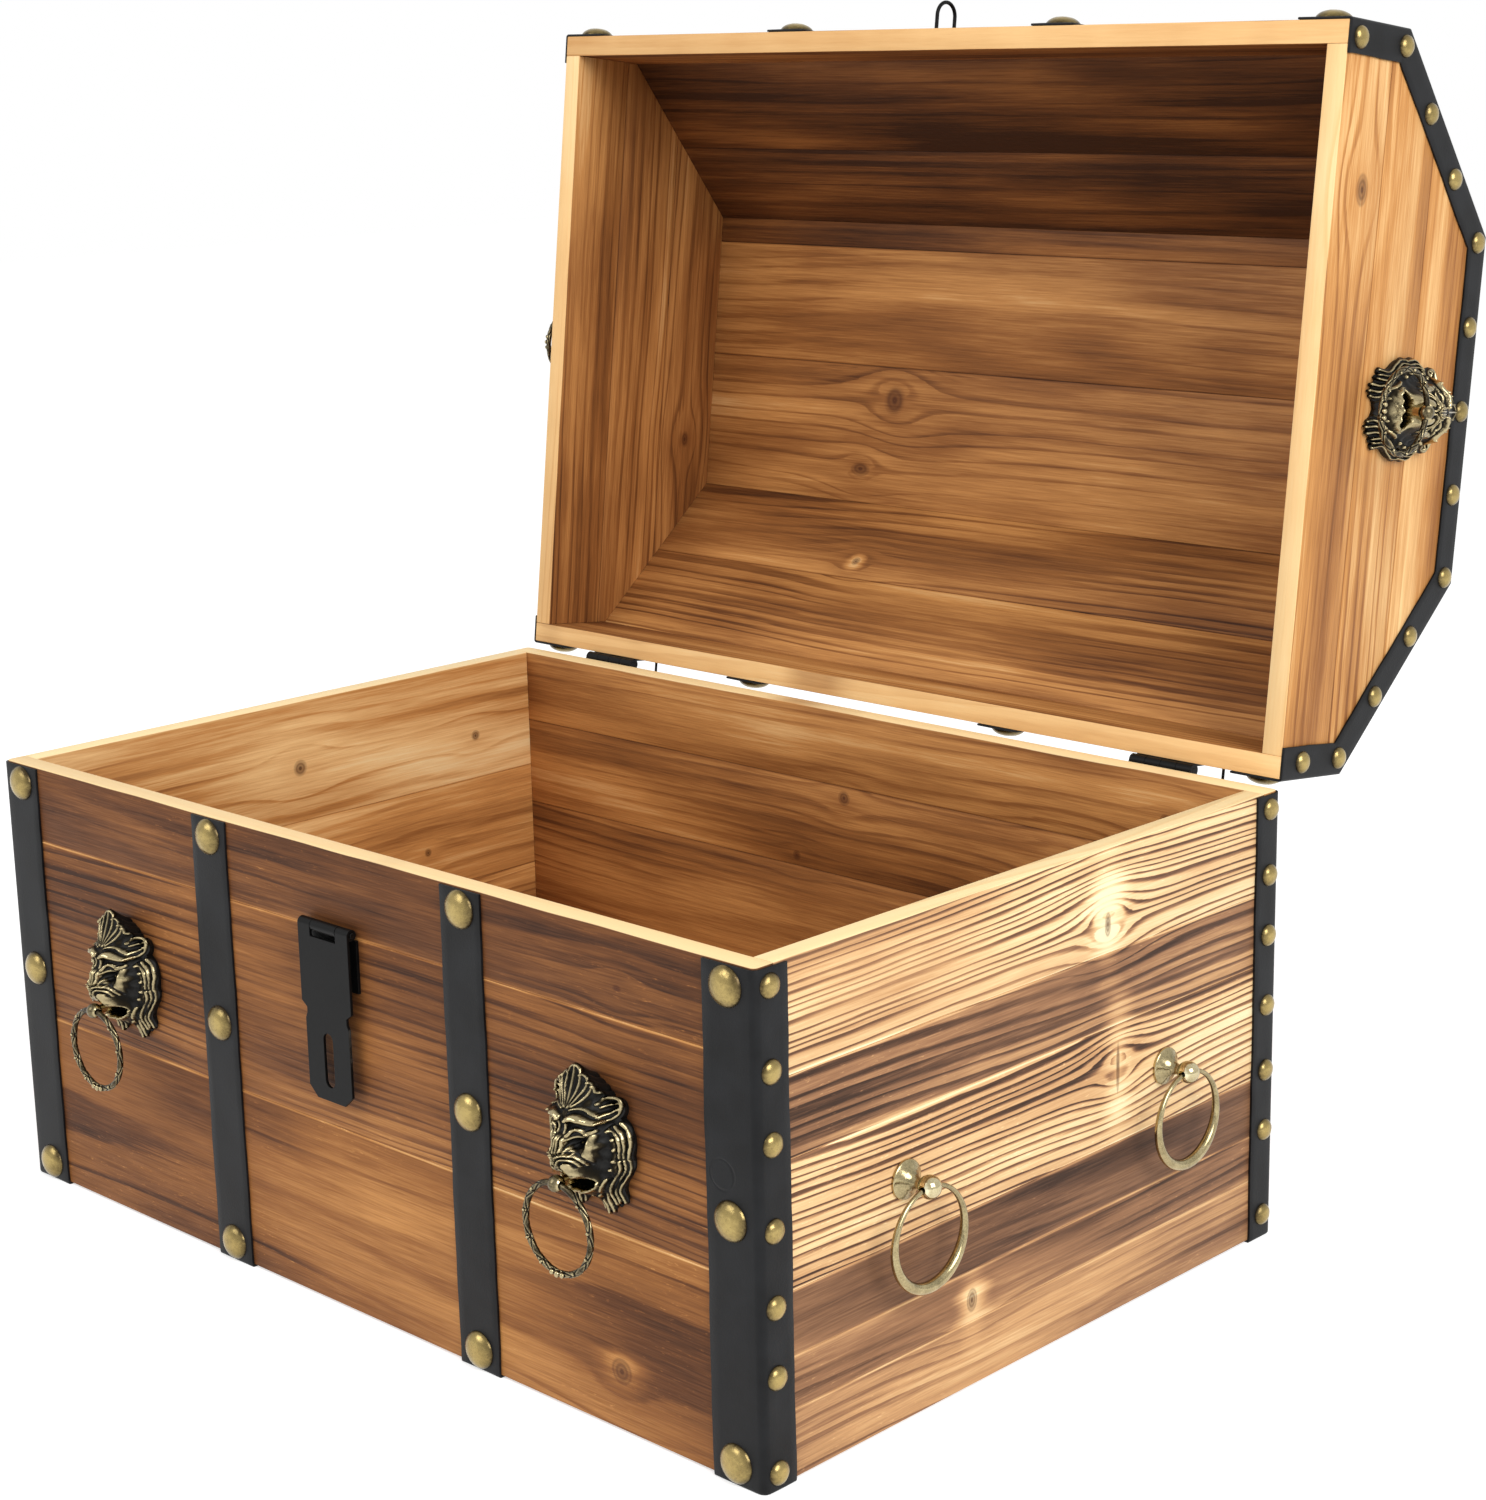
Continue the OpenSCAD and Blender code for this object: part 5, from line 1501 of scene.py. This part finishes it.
# %% The lion's ring
LION_RING_R = 19 * MM
LION_ROD_R = 1.4 * MM
RING_BEADS = [(angle, 0.75) for angle in (-150, -115, -80, -45, 45, 80, 115, 150)]    # turn, size
RING_BEADS += [(-171, 1.15), (180, 1.3), (171, 1.15)]
RING_STEPS = 300
ROD_STEPS = 24
PLAIN_TURN = math.radians(20)   # in the bead the rod is plain
PLAIN_FADE = math.radians(12)
RIBBONS = ((5, 0.4), (-5, 2.1))     # winds round the rod, start
RIBBON_EDGE = 0.22


def ring_relief(turn, roll):
    """How far the rod stands out, in millimetres, at a turn of the ring and a roll of the rod."""
    calm = min(1.0, max(0.0, (abs(turn) - PLAIN_TURN) / PLAIN_FADE))
    edge = 0.0
    for winds, phase in RIBBONS:
        off = math.remainder(winds * turn - roll + phase, math.pi)
        edge = max(edge, math.exp(-(off / RIBBON_EDGE) ** 2))
    rise = 0.1 - 0.5 * edge
    for angle, size in RING_BEADS:
        along = math.remainder(turn - math.radians(angle), 2 * math.pi) * LION_RING_R / MM
        round_rod = math.remainder(roll - math.pi / 2, 2 * math.pi) * LION_ROD_R / MM
        off = (along ** 2 + round_rod ** 2) / size ** 2
        if off < 1:
            rise = max(rise, size * math.sqrt(1 - off) + 0.05)
        elif off < 1.7:
            rise = -0.45
    return rise * calm - 0.05


def lion_ring(name, place):
    def point(row, column):
        turn = 2 * math.pi * row / RING_STEPS
        roll = 2 * math.pi * column / ROD_STEPS
        rod = LION_ROD_R + ring_relief(math.remainder(turn, 2 * math.pi), roll) * MM
        far = LION_RING_R + rod * math.cos(roll)
        return Vector((far * math.sin(turn), far * math.cos(turn) - LION_RING_R,
                       BEAD_REACH + rod * math.sin(roll)))

    ring = wrapped(name, RING_STEPS + 1, ROD_STEPS + 1, point)
    smooth(ring, 60)
    write_relief(ring, 0.2 * MM, 4)
    ring.matrix_world = place
    settle(ring)
    return ring


# %% [markdown]
# The four lions are one casting each and differ only in their places: two on the front of the box,
# where the joints of their rings are, and one on each end of the lid.

# %% Set the lions and their rings
LID_LION_UP = 57 * MM
lion_places = {}
for side in ("left", "right"):
    bead = swing_at[f"front_ring_{side}_swing"]
    on_front = faces["front"].matrix(bead.x, bead.z)
    on_lid = faces[f"lid_{side}"].matrix(0, LID_LION_UP)
    lion_places[f"front_{side}"] = ("box", f"front_ring_{side}", on_front)
    lion_places[f"lid_{side}"] = ("lid", f"lid_ring_{side}", on_lid)
for name, (body, ring_node, place) in lion_places.items():
    fit(lion(f"lion_{name}", place), body, bronze, f"lion_mask_{name}")
    fit(lion_ring(f"{ring_node}_cast", place), ring_node, bronze, ring_node)
bpy.data.objects.remove(first_head)

# %% [markdown]
# Each side pull is a post that was turned on a lathe, with a flat bell at its foot, a thin neck and
# a drilled ball, and a ring that grows from thin in the ball to thick at its lowest point, so that
# it falls back by its own weight. Turned things are spun from their outline. They are the same
# alloy as the lions, but polished before they were darkened, so they are paler.

# %% Side pulls
pull_brass = cast_metal("polished_brass_and_painted_shade", paint(46, 39, 26), paint(168, 154, 116),
                        paint(230, 219, 182), 0.2)
PULL_HEIGHT = 106 * MM
BALL_REACH = 13 * MM
BALL_R = 5 * MM
ROSETTE_R = 8.5 * MM
NECK_R = 2.3 * MM
NECK_SINK = 4.3 * MM    # the neck ends this far under the ball's middle
BELL = [(0.10, 1.7), (0.30, 2.4), (0.60, 3.6), (0.88, 5.4)]     # share of the way in, height in mm
PULL_RING_R = 21.3 * MM
PULL_ROD_THIN = 1.0 * MM
PULL_ROD_THICK = 2.6 * MM
PULL_HOLE_R = 1.75 * MM
PULL_RING_STEPS = 96
PULL_ROD_STEPS = 20


def rounded_steps(points, radius, steps=4):
    """Rounds the corners of an open outline."""
    made = [points[0]]
    for before, corner, after in zip(points[:-2], points[1:-1], points[2:]):
        before, corner, after = Vector(before), Vector(corner), Vector(after)
        back = (before - corner).normalized() * min(radius, (before - corner).length / 2)
        on = (after - corner).normalized() * min(radius, (after - corner).length / 2)
        for i in range(steps + 1):
            t = i / steps
            made.append(tuple(corner + back * (1 - t) ** 2 + on * t ** 2))
    return made + [points[-1]]


def side_post(name, place):
    neck_top = BALL_REACH - NECK_SINK
    bell = [(between(ROSETTE_R, NECK_R, share), height * MM) for share, height in BELL]
    outline = [(0, 0), (ROSETTE_R, 0), (ROSETTE_R, 1.3 * MM), *bell, (NECK_R, 7.4 * MM),
               (NECK_R, neck_top), (0, neck_top)]
    post = turned("post", rounded_steps(outline, 0.5 * MM), place, 48)
    ball_place = place @ Matrix.Translation((0, 0, BALL_REACH)) @ Matrix.Rotation(math.pi / 2, 4, "Y")
    ball = drilled_ball("ball", BALL_R, PULL_HOLE_R, ball_place)
    for piece in (post, ball):
        write_relief(piece, 0.5 * MM)
    return merge([post, ball], name)


def side_ring(name, place):
    def point(row, column):
        turn = 2 * math.pi * row / PULL_RING_STEPS
        roll = 2 * math.pi * column / PULL_ROD_STEPS
        rod = between(PULL_ROD_THIN, PULL_ROD_THICK, ((1 - math.cos(turn)) / 2) ** 1.2)
        far = PULL_RING_R + rod * math.cos(roll)
        return Vector((far * math.sin(turn), far * math.cos(turn) - PULL_RING_R,
                       BALL_REACH + rod * math.sin(roll)))

    ring = wrapped(name, PULL_RING_STEPS + 1, PULL_ROD_STEPS + 1, point)
    smooth(ring, 60)
    write_relief(ring, 0.6 * MM, 3)
    ring.matrix_world = place
    settle(ring)
    return ring


for side, sx in (("left", -1), ("right", 1)):
    for end, sy in (("front", -1), ("back", 1)):
        node = f"side_ring_{side}_{end}"
        low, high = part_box(node)
        place = faces[side].matrix(sx * (low.y + high.y) / 2, PULL_HEIGHT)
        fit(side_post(f"side_post_{side}_{end}_turned", place), "box", pull_brass,
            f"side_post_{side}_{end}")
        fit(side_ring(f"{node}_cast", place), node, pull_brass, node)

# %% [markdown]
# The hasp, the hinges, their screws and the staple are sheet and wire, blackened all over. Their
# shapes come from the frame, so each is copied from there and its edges are rounded, which lets
# them catch a thin line of light. Normals weighted by the size of the faces keep the flats flat, and
# only the hasp's strap changes its shape: its end is blunter than the frame has it. The black is a
# matte lacquer, a little worn on the edges.

# %% Black steel
def black_lacquer(name):
    steel = Finish(name)
    spot = steel.node("TexCoord", output="Object")
    rub = steel.node("Attribute", {"attribute_name": "rub"}, output="Fac")
    mist = steel.noise(spot, 500.0, 4.0, 0.6)
    clouds = steel.noise(spot, 45.0, 3.0)
    worn = (rub + mist * 0.5).step(0.78, 1.0)
    tone = steel.ramp((clouds * 0.8 + mist * 0.4 + 0.5).clamped(),
                      [(0.2, paint(5, 5, 5)), (0.8, paint(11, 11, 11))])
    return steel.wear(base_color=steel.mix(worn, tone, paint(56, 54, 50)),
                      roughness=(0.40 + mist * 0.2 + clouds * 0.15).clamped(), specular_ior_level=0.12,
                      normal=steel.bump(mist, 0.06 * MM, 0.4))


black_steel = black_lacquer("black_lacquer")
STEEL_EDGE = 0.22 * MM
STEEL_PIECES = {
    "box": ["hinge_box_leaf_left", "hinge_box_leaf_right", "hinge_pin_left", "hinge_pin_right",
            "hinge_box_screws", "hasp_base", "hasp_pin", "hasp_screws"],
    "lid": ["hinge_lid_leaf_left", "hinge_lid_leaf_right", "hinge_lid_screws", "lid_brads",
            "padlock_staple"],
    "hasp": ["hasp_strap"],
}
TIP_SLOPE = 9 * MM
TIP_HALF_W = 6 * MM
TIP_WIDER = 1.6         # how much wider the end becomes
TIP_SHORTER = 0.55      # and what is left of its slope


def blunt_tip(strap):
    """Widens the strap's end and shortens the slopes beside it."""
    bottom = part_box("hasp_strap")[0].z
    for vertex in strap.data.vertices:
        x, y, z = vertex.co
        if z < bottom + 0.1 * MM:
            vertex.co.x = math.copysign(TIP_HALF_W * TIP_WIDER, x)
        elif z < bottom + TIP_SLOPE + 0.1 * MM and abs(x) > TIP_HALF_W:
            vertex.co.z = bottom + TIP_SHORTER * TIP_SLOPE


for body, nodes in STEEL_PIECES.items():
    for node in nodes:
        piece = copy_of(node, node + "_steel")
        if node == "hasp_strap":
            blunt_tip(piece)
        soften(piece, STEEL_EDGE, angle=35)
        smooth(piece, 40)
        modify(piece, "WEIGHTED_NORMAL", keep_sharp=True)
        write_relief(piece, 0.3 * MM, 2)
        fit(piece, body, black_steel, node)
